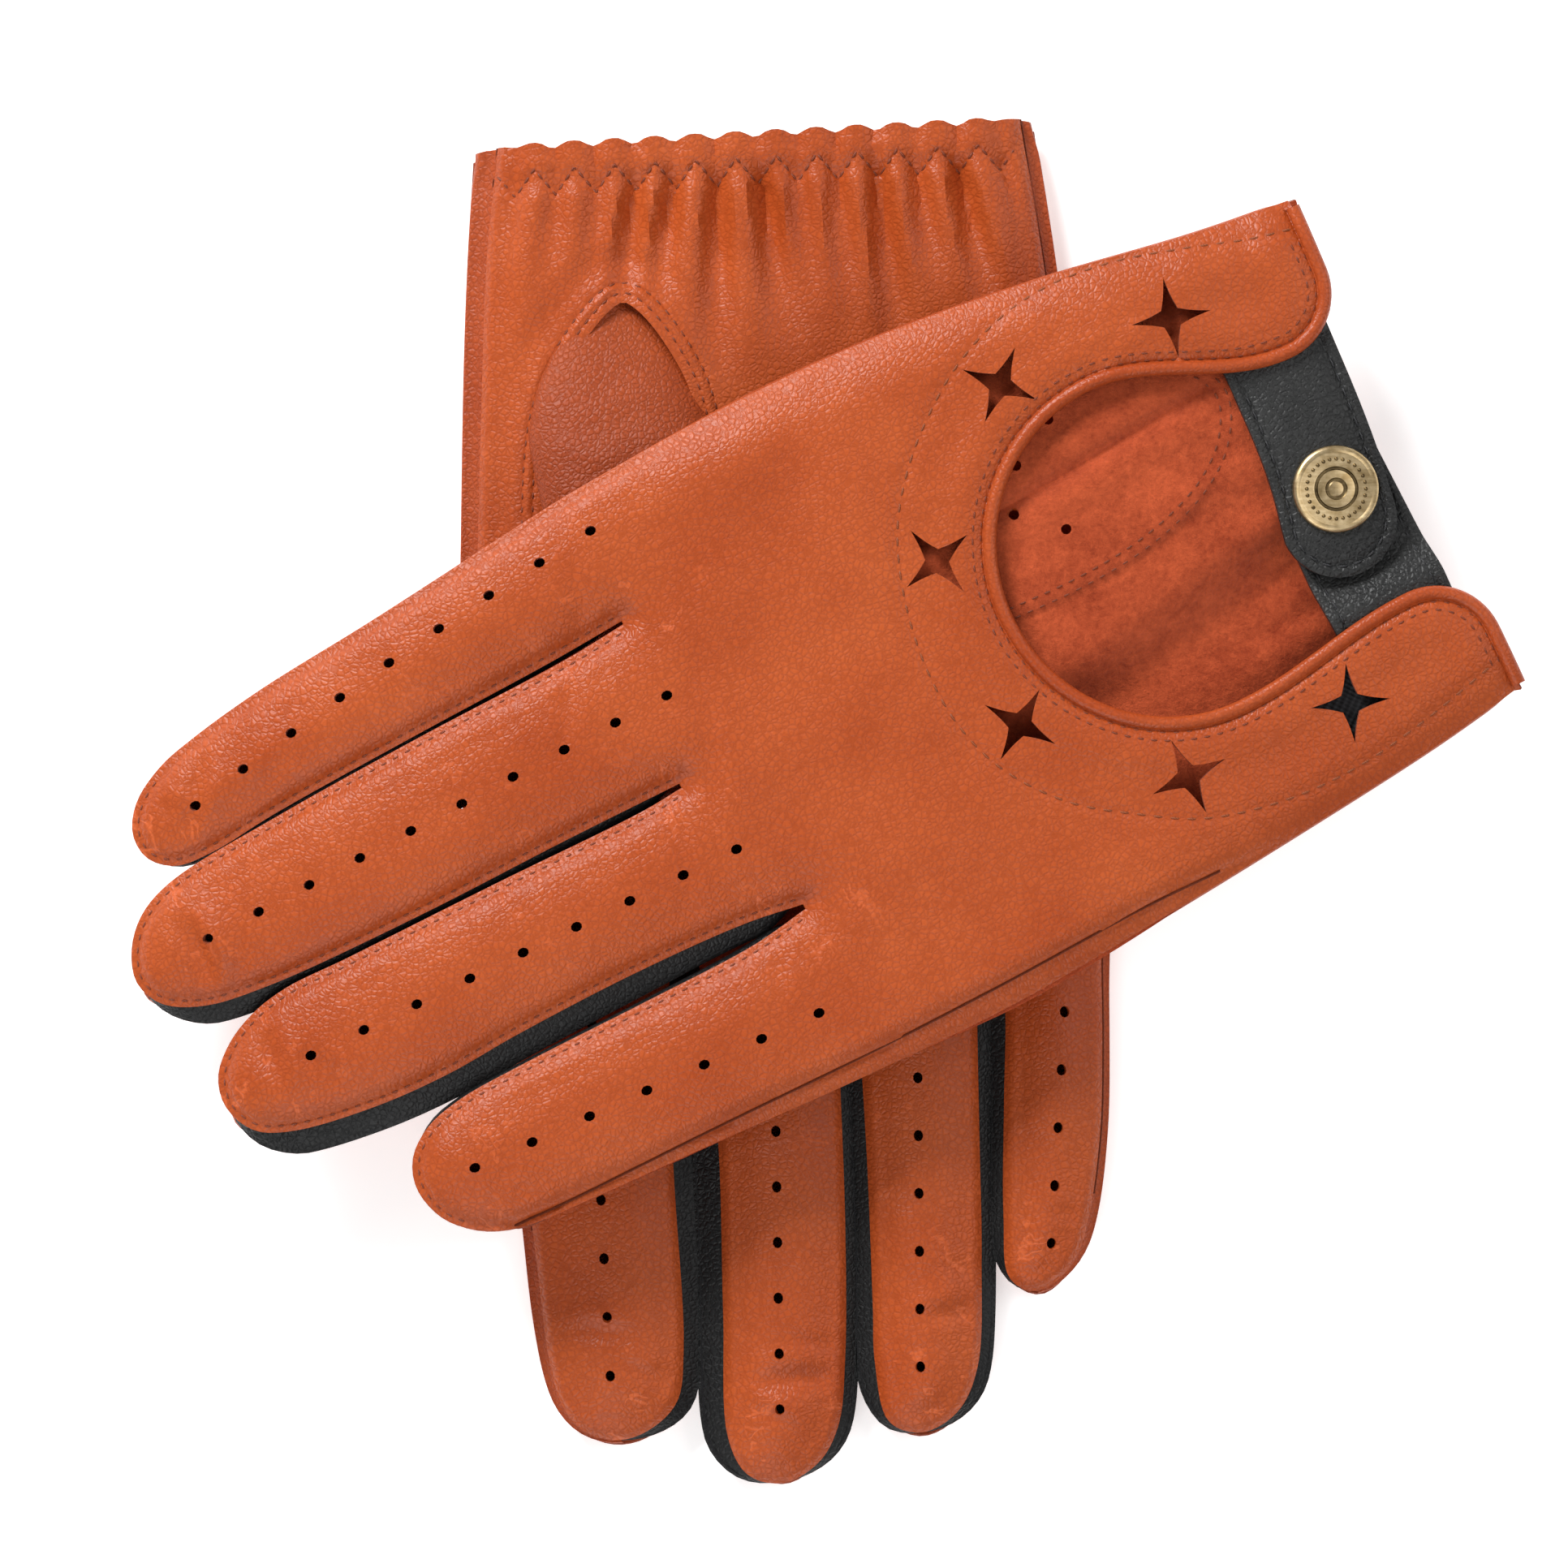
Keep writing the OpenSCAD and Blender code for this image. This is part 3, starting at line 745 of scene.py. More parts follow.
def closeMaterial(made, place, inputs, height=None, strength=0.4, distance=0.0004):
    if height is not None:
        inputs["Normal"] = place.node("ShaderNodeBump", {}, {"Strength": strength, "Distance": distance,
                                                             "Height": height})
    shader = place.node("ShaderNodeBsdfPrincipled", {}, inputs)
    end = place.tree.nodes.new("ShaderNodeOutputMaterial")
    place.tree.links.new(shader.socket, end.inputs["Surface"])
    return made


def grainLeather(name, dark, light, roughness, strength=0.5, onPanel=True):
    # fine pebbled grain with pores, brushed highlights and cross creases where it is worn
    made, place = startMaterial(name, "flat" if onPanel else None)
    pebbles = band(cells(place, 1000, "DISTANCE_TO_EDGE"), 0.0, 0.26)
    pores = band(cells(place, 1900), 0.04, 0.5)
    fine = noise(place, 2100, 3, 0.6)
    wobble = noise(place, 300, 2)
    height = pebbles * 0.75 + pores * 0.35 + fine * 0.25 + wobble * 0.16
    patches = noise(place, 30, 5, 0.62)
    folds = band(noise(stretched(place, (1, 0.36, 1)), 160, 5, 0.6), 0.36, 0.5)
    if onPanel:
        worn = place.node("ShaderNodeAttribute", {"attribute_name": "worn"}, out=2)
        bend = place.node("ShaderNodeVectorMath", {"operation": "SCALE"},
                          {0: noise(place, 240, 2), "Scale": 0.004})
        sparse = band(noise(place, 130, 3), 0.6, 0.46)
        net = cells(stretched(place + bend, (1, 0.36, 1)), 480, "DISTANCE_TO_EDGE")
        lines = band(net + sparse, 0.0, 0.13)
        height = height + (folds * 1.6 + lines * 1.0) * worn
    else:
        height = height + folds * 0.25
    tone = band(patches * 0.8 + fine * 0.12 + pores * 0.12, 0.36, 0.76)
    # the hollows between the pebbles are painted darker: painted shade in the grain
    deep = tuple(c * 0.62 for c in dark[:3]) + (1,)
    color = mixTones((1 - pebbles) * 0.36, mixTones(tone, dark, light), deep)
    if onPanel:
        pale = tuple(min(1, c * 1.45 + 0.02) for c in light[:3]) + (1,)
        color = mixTones((1 - lines) * worn * 0.5, color, pale)
    rough = (roughness - 0.08) + patches * 0.13 + fine * 0.08
    return closeMaterial(made, place, {"Base Color": color, "Roughness": rough, "IOR": 1.47,
                                       "Specular IOR Level": 0.3}, height, strength, 0.00034)


def suedeLeather(name, dark, light):
    # short brushed fibres in soft clumps
    made, place = startMaterial(name)
    fibres = noise(place, 1100, 6, 0.8)
    clumps = noise(place, 420, 4, 0.7)
    brushed = noise(stretched(place, (1, 1, 0.3)), 60, 4, 0.6)
    tone = band(fibres * 0.5 + clumps * 0.35 + brushed * 0.5, 0.44, 0.86)
    return closeMaterial(made, place, {"Base Color": mixTones(tone, dark, light), "Roughness": 0.96,
                                       "Sheen Weight": 0.08, "Sheen Roughness": 0.5,
                                       "Specular IOR Level": 0.12}, fibres + clumps * 0.7, 1.0, 0.0006)


def wovenTape(name, tone):
    made, place = startMaterial(name)
    turned = place.node("ShaderNodeMapping", {}, {"Vector": place, "Rotation": (0, 0, math.radians(26))})
    height = stripes(turned, "X", 260, 0.6) * 0.7 + stripes(turned, "Y", 420, 0.4) * 0.4
    color = mixTones(height, (0.006, 0.006, 0.007, 1), tone)
    return closeMaterial(made, place, {"Base Color": color, "Roughness": 0.8}, height, 0.8, 0.0004)


def agedBrass(name, dark, light, roughness):
    made, place = startMaterial(name)
    wear = noise(place, 420, 5, 0.65)
    scratches = noise(stretched(place, (1, 7, 1)), 300, 4, 0.6)
    tone = band(wear * 0.7 + scratches * 0.35, 0.4, 0.75)
    rough = wear * 0.2 + roughness
    return closeMaterial(made, place, {"Base Color": mixTones(tone, dark, light), "Metallic": 0.95,
                                       "Roughness": rough}, wear * 0.6 + scratches * 0.5, 0.2, 0.0002)


def threadMaterial(name, dark, light):
    made, place = startMaterial(name)
    twist = stripes(place, "DIAGONAL", 1400, 1.0)
    return closeMaterial(made, place, {"Base Color": mixTones(twist, dark, light), "Roughness": 0.6},
                         twist, 0.4, 0.0001)


cognac = grainLeather("Cognac leather", (0.365, 0.054, 0.009, 1), (0.51, 0.096, 0.020, 1), 0.36, 0.3)
foldedCognac = grainLeather("Cognac side leather", (0.33, 0.047, 0.009, 1), (0.45, 0.08, 0.018, 1),
                            0.44, 0.4, False)
# a darker copy of the panels' cognac for the thumbs: painted shade against the key light that falls full on
# them
thumbShadedCognac = grainLeather("Cognac thumb leather with painted shade", (0.27, 0.038, 0.006, 1), (0.39, 0.066, 0.012, 1),
                           0.46, 0.42, False)
beadLeather = grainLeather("Cognac binding", (0.36, 0.052, 0.010, 1), (0.46, 0.083, 0.019, 1),
                           0.33, 0.2, False)
rawEdge = suedeLeather("Raw cut edge", (0.22, 0.032, 0.008, 1), (0.36, 0.064, 0.016, 1))
seamShade = suedeLeather("Seam shadow", (0.14, 0.023, 0.006, 1), (0.21, 0.037, 0.010, 1))
suede = suedeLeather("Orange suede", (0.26, 0.028, 0.007, 1), (0.76, 0.135, 0.044, 1))
blackLeather = grainLeather("Black leather", (0.004, 0.0042, 0.0045, 1), (0.014, 0.0142, 0.0145, 1),
                            0.42, 0.35, False)
strapLeather = grainLeather("Black strap leather", (0.012, 0.0122, 0.0124, 1), (0.042, 0.0425, 0.0415, 1),
                            0.4, 0.5, False)
blackSuede = suedeLeather("Black flesh side", (0.008, 0.008, 0.009, 1), (0.022, 0.022, 0.024, 1))
webbing = wovenTape("Black woven tape", (0.035, 0.036, 0.04, 1))
brass = agedBrass("Antique brass", (0.40, 0.275, 0.125, 1), (0.80, 0.63, 0.38, 1), 0.27)
darkBrass = agedBrass("Brass patina", (0.075, 0.05, 0.024, 1), (0.30, 0.215, 0.1, 1), 0.34)
tanThread = threadMaterial("Brown thread", (0.15, 0.026, 0.007, 1), (0.25, 0.046, 0.012, 1))
amberThread = threadMaterial("Amber thread", (0.20, 0.04, 0.008, 1), (0.33, 0.075, 0.016, 1))
blackThread = threadMaterial("Black thread", (0.004, 0.004, 0.005, 1), (0.035, 0.035, 0.038, 1))
print("materials ready")


# Seams: small dipping stitches along a path, and smooth tubes


def gridFaces(rows, around, closed=True):
    # quads between neighbouring rows of vertices
    faces = []
    for i in range(rows - 1):
        for k in range(around if closed else around - 1):
            a, b = i * around + k, i * around + (k + 1) % around
            faces.append((a, b, b + around, a + around))
    return faces


def tubeFaces(rows, around):
    last = (rows - 1) * around
    return gridFaces(rows, around) + [tuple(range(around))[::-1], tuple(range(last, last + around))]


def sweep(side, path, depth, radius, around, plane=toWorld):
    # vertices and faces of a tube along a path in the flat frame
    path = np.asarray(path, float)
    n = outward(path)
    radius = np.broadcast_to(radius, len(path))
    rings = []
    for a in np.linspace(0, 2 * np.pi, around, endpoint=False):
        p = path + n * (radius * math.cos(a))[:, None]
        rings.append(plane(side, *p.T, depth + radius * math.sin(a)))
    return np.stack(rings, axis=1).reshape(-1, 3), tubeFaces(len(path), around)


def fixNormals(piece):
    bm = bmesh.new()
    bm.from_mesh(piece.data)
    bmesh.ops.remove_doubles(bm, verts=bm.verts, dist=1e-7)
    bmesh.ops.recalc_face_normals(bm, faces=bm.faces)
    bm.to_mesh(piece.data)
    bm.free()


def merged(runs):
    verts, faces, start = [], [], 0
    for v, f in runs:
        verts.append(v)
        faces += [tuple(x + start for x in q) for q in f]
        start += len(v)
    return np.vstack(verts), faces


# Each seam's thread: pitch, stitch length and radius. The stitches' ends dip into the leather.
threads = {"finger": (2.3, 1.5, 0.17), "thumb": (2.3, 1.6, 0.17), "facing": (2.9, 2.1, 0.2),
           "binding": (2.3, 1.6, 0.16), "wrist": (1.95, 1.7, 0.24), "strap": (2.7, 1.9, 0.19)}
panelStitch = {"first": 0.3, "rise": (-0.26, 0.02, 0.1, 0.02, -0.26), "thick": (0.55, 0.95, 1, 0.95, 0.55)}
strapStitch = {"first": 0.2222, "rise": (-0.25, 0.02, 0.08, 0.02, -0.25), "thick": (0.6, 1, 1, 1, 0.6)}


def stitchRun(side, path, depthOf, thread, up=-1, shape=panelStitch, plane=toWorld):
    # one short dipping thread for each stitch; up is -1 where the thread lies on the back's face
    pitch, length, radius = threads[thread]
    path = np.asarray(path, float)
    run = runAlong(path)
    starts = np.arange(pitch * shape["first"], run[-1] - length, pitch)
    at = (starts[:, None] + np.linspace(0, 1, 5) * length).ravel()
    flat = np.column_stack([np.interp(at, run, axis) for axis in path.T])
    depth = depthOf(flat).reshape(-1, 5) + up * np.array(shape["rise"])
    thick = np.array(shape["thick"]) * radius
    return merged([sweep(side, flat[i * 5:i * 5 + 5], row, thick, 6, plane) for i, row in enumerate(depth)])


def joinRuns(name, side, runs, material, slotName="cognac_leather", body="_glove"):
    piece = newPiece(side + "_" + name, *merged(runs), [material])
    fixNormals(piece)
    finishPiece(piece, angle=80)
    attach(piece, side, slotName, body=body)


# Panels


def backPanel(side):
    loop = outlineLoop(side, "back")
    holes = [starLoop(p) for p in stars["places"]] + ventLoops(side, "back")
    flat, faces = fillSheet(loop, holes, leather["grid"], seams=[facingLine, foldLine] + beadLines)
    piece = leatherSheet(side + "_back", side, flat, faces, backDepth(side, flat), side == "left",
                         [cognac, suede, rawEdge], worn=wornAt(side, "back", flat))
    attach(piece, side, "cognac_leather", "back_panel")


def scallop(side, loop):
    # the gathered wrist's edge draws up between its folds
    out = loop.copy()
    s, t = out.T
    near = hump(s / 6) * rise(44 - np.abs(t), 0, 6)
    s += near * 1.1 * (np.abs(np.cos(np.pi * t / gather["pitch"])) ** 3.2 - 0.3)
    s += np.where(s < 6, wristLine(side, t), 0)
    return out


def palmPanel(side):
    loop = outlineLoop(side, "palm", 1.3)
    ends = evenly(np.array([loop[-1], loop[0]]), step=1.1)[1:-1]
    loop = scallop(side, np.vstack([loop, ends]))
    holes = ventLoops(side, "palm")
    seams = [innerPleat, innerSeam, innerFold]
    if side == "left":
        holes += [ventHole(at, 1, 1) for at in thumbVents]
    else:
        hole = archCurve(-0.2, 66, 1.2)
        holes.append(np.vstack([hole, evenly([hole[-1], hole[0]], step=1.5)[1:-1]]))
        seams = [archCurve(grow, 76, 1.0) for grow in (1.5, 3.4)] + [zigzag]
    flat, faces = fillSheet(loop, holes, leather["grid"] * 0.8, seams=seams)
    piece = leatherSheet(side + "_palm", side, flat, faces, palmDepth(side, flat), side == "right",
                         [cognac, suede, cognac], worn=wornAt(side, "palm", flat))
    attach(piece, side, "cognac_leather", "palm_panel")


def fingerHalf(side, layer, name, outer):
    # one side of a finger from its root to its tip
    curve = fingerCurves[(side, layer)][name]
    tip = int(np.argmax(curve[:, 0]))
    return curve[:tip + 1] if outer else curve[tip:][::-1]


# The strips between back and palm: finger, whether on its outer side, the finger beyond, and how far the
# strip bulges on the left and the right glove, as a share of the gap to that finger and at most
strips = {
    "fourchette_little": ("little", False, "ring", {"left": (0.35, 1.6), "right": (0.66, 2.4)}),
    "fourchette_ring_outer": ("ring", True, "little", {"left": (0.75, 3.6), "right": (0.66, 2.2)}),
    "fourchette_ring_inner": ("ring", False, "middle", {"left": (0.5, 1.4), "right": (0.66, 3.2)}),
    "fourchette_middle_outer": ("middle", True, "ring", {"left": (0.7, 3.0), "right": (0.66, 2.2)}),
    "fourchette_middle_inner": ("middle", False, "index", {"left": (0.5, 1.2), "right": (0.8, 3.9)}),
    "fourchette_index": ("index", True, "middle", {"left": (0.6, 1.3), "right": (0.66, 2.4)}),
    "little_side_wrap": ("little", True, None, {"left": 0.7, "right": 1.2}),
    "index_side_wrap": ("index", False, None, {"left": 0.7, "right": 1.2}),
}
# how far a strip starts inside the back's edge, and how far below the palm's face it ends
fourchette = {"slot": "black_leather", "looks": [blackLeather, blackSuede], "inset": 0.95, "sunk": 0.9}
sideWrap = {"slot": "cognac_leather", "looks": [foldedCognac, suede], "inset": 0.35, "sunk": 1.7}
strip = {"step": 1.8, "palmInset": 0.75, "thick": 0.75, "across": 11}


def stripBulge(side, edge, beyond, bulge, inset):
    if beyond is None:
        return bulge + inset
    share, most = bulge
    gap = edgeDistance(edge, fingerCurves[(side, "back")][beyond])
    return np.clip(gap * share + 0.3, 0.5, most) + inset * 0.8


def sideStrip(side, node):
    finger, outer, beyond, bulge = strips[node]
    kind = fourchette if beyond else sideWrap
    backEdge = fingerHalf(side, "back", finger, outer)
    count = int(runAlong(backEdge)[-1] / strip["step"])
    a = evenly(backEdge, count=count)
    b = evenly(fingerHalf(side, "palm", finger, outer), count=count)
    turn = 1 if outer else -1
    away = outward(a, turn)
    a, b = a - away * kind["inset"], b - outward(b, turn) * strip["palmInset"]
    low = backDepth(side, a) + leather["thick"]
    high = palmDepth(side, b) - leather["thick"] * kind["sunk"]
    row = np.arange(count)
    out = stripBulge(side, a, beyond, bulge[side], kind["inset"]) * rise(row, -2, 4)
    out = 0.25 + (out - 0.25) * rise((count - 1 - row) * strip["step"], -2, 15)
    verts = []
    for v in np.linspace(0, 1, strip["across"]):
        p = a * (1 - v) + b * v + away * (out * math.sin(math.pi * v) ** 0.65)[:, None]
        lift = 0.5 * math.sin(2 * math.pi * v)
        verts.append(toWorld(side, *p.T, low * (1 - v) + high * v + lift))
    name = node + "_strip" if beyond else node.removesuffix("_wrap")
    piece = newPiece(side + "_" + name, np.stack(verts, axis=1).reshape(-1, 3),
                     gridFaces(count, strip["across"], False), kind["looks"])
    mid = a[count // 2]
    faceTowards(piece, toWorld(side, *(mid + away[count // 2]), 5) - toWorld(side, *mid, 5))
    finishPiece(piece, [("SOLIDIFY", {"thickness": strip["thick"] * mm, "offset": -1.0,
                                      "material_offset": 1, "material_offset_rim": 1})])
    attach(piece, side, kind["slot"], node)


def binding(side):
    # the rolled edge round the cut-out and wrist tabs
    path = cutoutCurve(bead["radius"] * 0.95, step=1.1)[1:-1]
    base = backDepth(side, path)
    depth = base * 0.6 + bead["sunk"] if side == "left" else base * 0.2 + bead["radius"]
    piece = newPiece(side + "_binding", *sweep(side, path, depth, bead["radius"], 14), [beadLeather])
    fixNormals(piece)
    finishPiece(piece, angle=60)
    attach(piece, side, "cognac_leather", "edge_binding")


def facing(side):
    # second layer inside the back round the cut-out
    a = np.radians(np.arange(-90, 91, 6))
    arc = np.column_stack([cutout["bulbAt"] + 45.8 * np.cos(a), cutout["shift"] + 47.2 * np.sin(a)])
    outer = np.vstack([[(4, -40)], arc, [(4, 40)]])
    inner = cutoutCurve(bead["width"] * 0.8, step=1.8)
    inner = inner[(np.abs(inner[:, 1]) < 39.5) | (inner[:, 0] > 6)]
    loop = np.vstack([evenly(outer, step=1.8), inner])
    flat, faces = fillSheet(loop, [starLoop(p) for p in stars["places"]], 2.0, ())
    depth = backDepth(side, flat) + leather["thick"] * 1.02
    piece = leatherSheet(side + "_facing", side, flat, faces, depth, side == "left",
                         [suede, suede, rawEdge], 0.6)
    attach(piece, side, "orange_suede", "cutout_facing")


def seamShadows(side):
    # the dark bottoms of the long side seams, and of the left glove's folded side
    lines = []
    for finger, outer in (("little", True), ("index", False)):
        edge = evenly(fingerHalf(side, "palm", finger, outer), step=1.5)
        edge = edge[edge[:, 0] < 188]
        lines.append((edge + outward(edge, 1 if outer else -1) * 0.1, palmDepth(side, edge) - 1.25))
    if side == "left":
        crease = foldLine[foldLine[:, 0] > 61]
        lines.append((crease, backDepth(side, crease) - 0.16))
    joinRuns("seam_bottoms", side, [sweep(side, *line, 0.25, 8) for line in lines], seamShade)


for side in sides:
    backPanel(side)
    palmPanel(side)
    binding(side)
    facing(side)
    seamShadows(side)
    for node in strips:
        sideStrip(side, node)
    print(side, "panels made")


# Thumbs

thumbs = {
    "at": (46, -25), "start": 27.4, "tip": 58, "round": 11, "high": 18.0, "rings": 64, "around": 40,
    "lean": {"right": 5, "left": 23}, "low": {"right": 10.4, "left": 11.3}, "hole": 7.6,
    "half": [(0, 1.6), (1.5, 4.6), (4, 7.4), (8, 10.4), (14, 13.7), (22, 16.2), (34, 16.6), (48, 14.6),
             (62, 12.6), (74, 11.4), (81, 10.6)],
    "rise": [(0, 8.7), (4, 9.7), (10, 11.6), (18, 14.0), (28, 16.6), (38, 18.0), (70, 18.0), (88, 17.2)],
}


def thumbFaces(side, x):
    # depth of the thumb's lower and upper face; the right one climbs out of its hole
    low = thumbs["low"][side]
    if side == "left":
        return low, low + (thumbs["high"] - low) * rise(x, -4, 20)
    return thumbs["hole"] + (low - thumbs["hole"]) * rise(x, 20, 40), np.interp(x, *zip(*thumbs["rise"]))


def thumbRing(side, x, end):
    # one ring, x along the thumb: beside its middle line, and its depth; end runs 0 to 1 over the tip
    a = np.linspace(0, 2 * np.pi, thumbs["around"], endpoint=False)
    across = np.sign(np.cos(a)) * np.abs(np.cos(a)) ** 0.8
    up = np.sign(np.sin(a)) * np.abs(np.sin(a)) ** 0.9
    half = np.interp(x, *zip(*thumbs["half"])) * math.sqrt(max(0.0, 1 - end ** 2.2))
    low, high = thumbFaces(side, x)
    mid = (high + low) / 2
    tall = (high - low) / 2 * (math.sqrt(max(0.0, 1 - end ** 2.6)) * 0.96 + 0.04)
    widest = mid - tall * 0.45 * (1 - rise(x, 18, 46))
    lift = np.where(up > 0, mid + tall - widest, widest - mid + tall) * up
    lift += 0.22 * np.sin(x * 0.8 + 1.3 * np.sin(across * half * 0.4)) * np.maximum(up, 0) * rise(x, 8, 30)
    if side == "right":
        # its first part leans over inside its hole
        lift -= 1.5 * across * (1 - rise(x, 16, 38))
    return across * half - 1.3 * rise(x, 3, 9) * (1 - rise(x, 20, 40)), widest + lift


def thumb(side):
    # rings along the folded thumb, flat like a pressed tube, with a rounded tip
    s, t = thumbs["at"]
    total = s + thumbs["tip"] + thumbs["round"] - thumbs["start"]
    lean = math.radians(thumbs["lean"][side])
    c, q = math.cos(lean), math.sin(lean)
    rings = []
    for angle in np.linspace(0, math.pi, thumbs["rings"]):
        x = (1 - math.cos(angle)) / 2 * total * 0.9985 + 0.04
        aside, depth = thumbRing(side, x, max(0.0, (x - total + thumbs["round"]) / thumbs["round"]))
        along = thumbs["start"] + x - s
        turn = rise(x, 4, 30)
        cx, qx = 1 + (c - 1) * turn, q * turn
        rings.append(toWorld(side, s + along * cx - aside * qx, t + along * qx + aside * cx, depth))
    piece = newPiece(side + "_thumb_cover", np.vstack(rings), tubeFaces(thumbs["rings"], thumbs["around"]),
                     [thumbShadedCognac])
    fixNormals(piece)
    finishPiece(piece, [("SUBSURF", {"levels": 1, "render_levels": 1})], angle=70)
    near, far = [toWorld(side, s + k * c, t + k * q, 14) for k in (-8, 26)]
    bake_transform(piece)
    hideNodes(piece, side, "thumb")


for side in sides:
    thumb(side)
print("thumbs made")

# Straps and snaps. Their frame is the wrist's plane, level on the right glove and tilted on the left.
strap = {"at": (15.4, 1.3), "width": 20.4, "end": 15, "out": 1.6, "thick": 1.4, "axis": -21.2, "root": -35,
         "tabFrom": 35, "tabOut": 4.8, "rampFrom": 22.0}
wristTilt = math.radians(drape["wrist"])
tiltAt = drape["level"][1] + drape["bend"] - drape["bend"] * slope(drape["wrist"] / 2) / slope(drape["wrist"])


def wristWorld(side, s, t, depth):
    s, t, depth = np.broadcast_arrays(*[np.asarray(v, float) for v in (s, t, depth)])
    x, y = planPoint(side, s, t)
    if side == "right":
        return np.stack([x, y, depth], axis=-1) * mm
    c, q = math.cos(wristTilt), math.sin(wristTilt)
    along = x - tiltAt
    return np.stack([tiltAt + along * c - depth * q, y, drape["top"] - along * q - depth * c], axis=-1) * mm


def strapBand(name, side, loop, depthOf):
    # a padded strip with rounded, painted edges
    flat, faces = fillSheet(loop, [], 0.9)
    d = edgeDistance(flat, loop, True)
    puff = 0.32 * rise(d, 0.0, 0.9) - 0.42 * hump((d - 1.9) / 0.8) + 0.3 * rise(d, 2.4, 6)
    top = depthOf(flat) - puff + 0.3
    under = depthOf(flat) + strap["thick"] - 0.25 * rise(d, 0, 0.7) + 0.05
    n = len(flat)
    verts = np.vstack([wristWorld(side, *flat.T, depth) for depth in (top, under)])
    faces = faces.tolist()
    edges = [(f[i], f[(i + 1) % 3]) for f in faces for i in range(3)]
    inner = {(b, a) for a, b in edges}
    rim = [(b, a, a + n, b + n) for a, b in edges if (a, b) not in inner]
    piece = newPiece(name, verts, faces + [[x + n for x in f[::-1]] for f in faces] + rim, [strapLeather])
    fixNormals(piece)
    return finishPiece(piece, angle=55)


def flapLoop(step=1.0):
    # the flap's outline: its round nose, and sides that widen towards the root
    half = strap["width"] / 2
    s, t = strap["at"]
    a = np.radians(np.arange(0, 181, 8))
    nose = np.column_stack([s + 1.6 + half * np.cos(a), t + strap["end"] - half + half * np.sin(a)])
    left = smoothCurve([nose[-1], (s - half + 0.2, -4), (s - half - 1.6, strap["root"])])
    right = smoothCurve([(s + half - 1.8, strap["root"]), (s + half - 0.6, -6), nose[0]])
    return np.vstack([evenly(right, step=step)[:-1], evenly(nose, step=step), evenly(left, step=step)[1:-1],
                      evenly([left[-1], right[0]], step=step)[:-1]])


def flapDepth(p):
    # the flap rises a little over the tab's ramp and the snap
    return strap["out"] - 0.25 * hump((p[:, 1] + 12) / 10)


def tabDepth(p):
    # the tab slopes down under the flap
    ramp = strap["tabOut"] - strap["out"]
    return strap["out"] + ramp * rise(-p[:, 1], -strap["rampFrom"], -strap["rampFrom"] + 8)


def tabLoop():
    s, t = strap["at"]
    half = strap["width"] / 2
    corners = [(s - half, t - 9), (s + half, t - 9), (s + half + 0.6, 20), (s + half, strap["tabFrom"]),
               (s - half - 0.6, strap["tabFrom"]), (s - half - 0.9, 22), (s - half, t - 9)]
    return evenly(corners, step=1.0)[:-1]


def strapParts(side):
    flap = strapBand(side + "_strap_band", side, flapLoop(), flapDepth)
    s, half = strap["at"][0], strap["width"] / 2
    start, end = [wristWorld(side, s, strap["axis"] + k, strap["out"]) for k in (-1.2, 1.8)]
    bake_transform(flap)
    hideNodes(flap, side, "strap_flap", "strap_root")
    tab = strapBand(side + "_tab_band", side, tabLoop(), tabDepth)
    attach(tab, side, "black_leather", "stud_tab")
    edge = flapLoop(0.7)
    inner = edge - outward(edge, -1) * 1.9
    own = {"thread": "strap", "shape": strapStitch, "plane": wristWorld}
    run = stitchRun(side, inner[inner[:, 1] > -20.5], lambda p: flapDepth(p) + 0.24, **own)
    joinRuns("strap_stitching", side, [run], blackThread, "black_leather", "_strap")
    runs = [stitchRun(side, [(x, 23.5), (x, -2)], lambda p: tabDepth(p) + 0.22, **own)
            for x in (s - half + 1.6, s + half - 1.5)]
    joinRuns("tab_stitching", side, runs, blackThread, "black_leather")


# the cap's profile: radius and height of each ring
capShape = [(7.5, 0.0), (7.5, 0.8), (7.32, 1.12), (7.0, 1.3), (6.65, 1.26), (6.4, 1.1), (6.2, 1.06),
            (4.1, 1.12), (3.85, 1.08), (3.7, 0.86), (3.4, 0.86), (3.25, 1.1), (3.0, 1.16), (1.95, 1.18),
            (1.75, 1.0), (1.4, 1.0), (1.2, 1.2), (0.8, 1.27), (0.3, 1.3)]
capDots = {"count": 28, "ring": 5.15, "radius": 0.36, "height": 1.02}
capGrooves = ((3.3, 3.82), (1.3, 1.9))


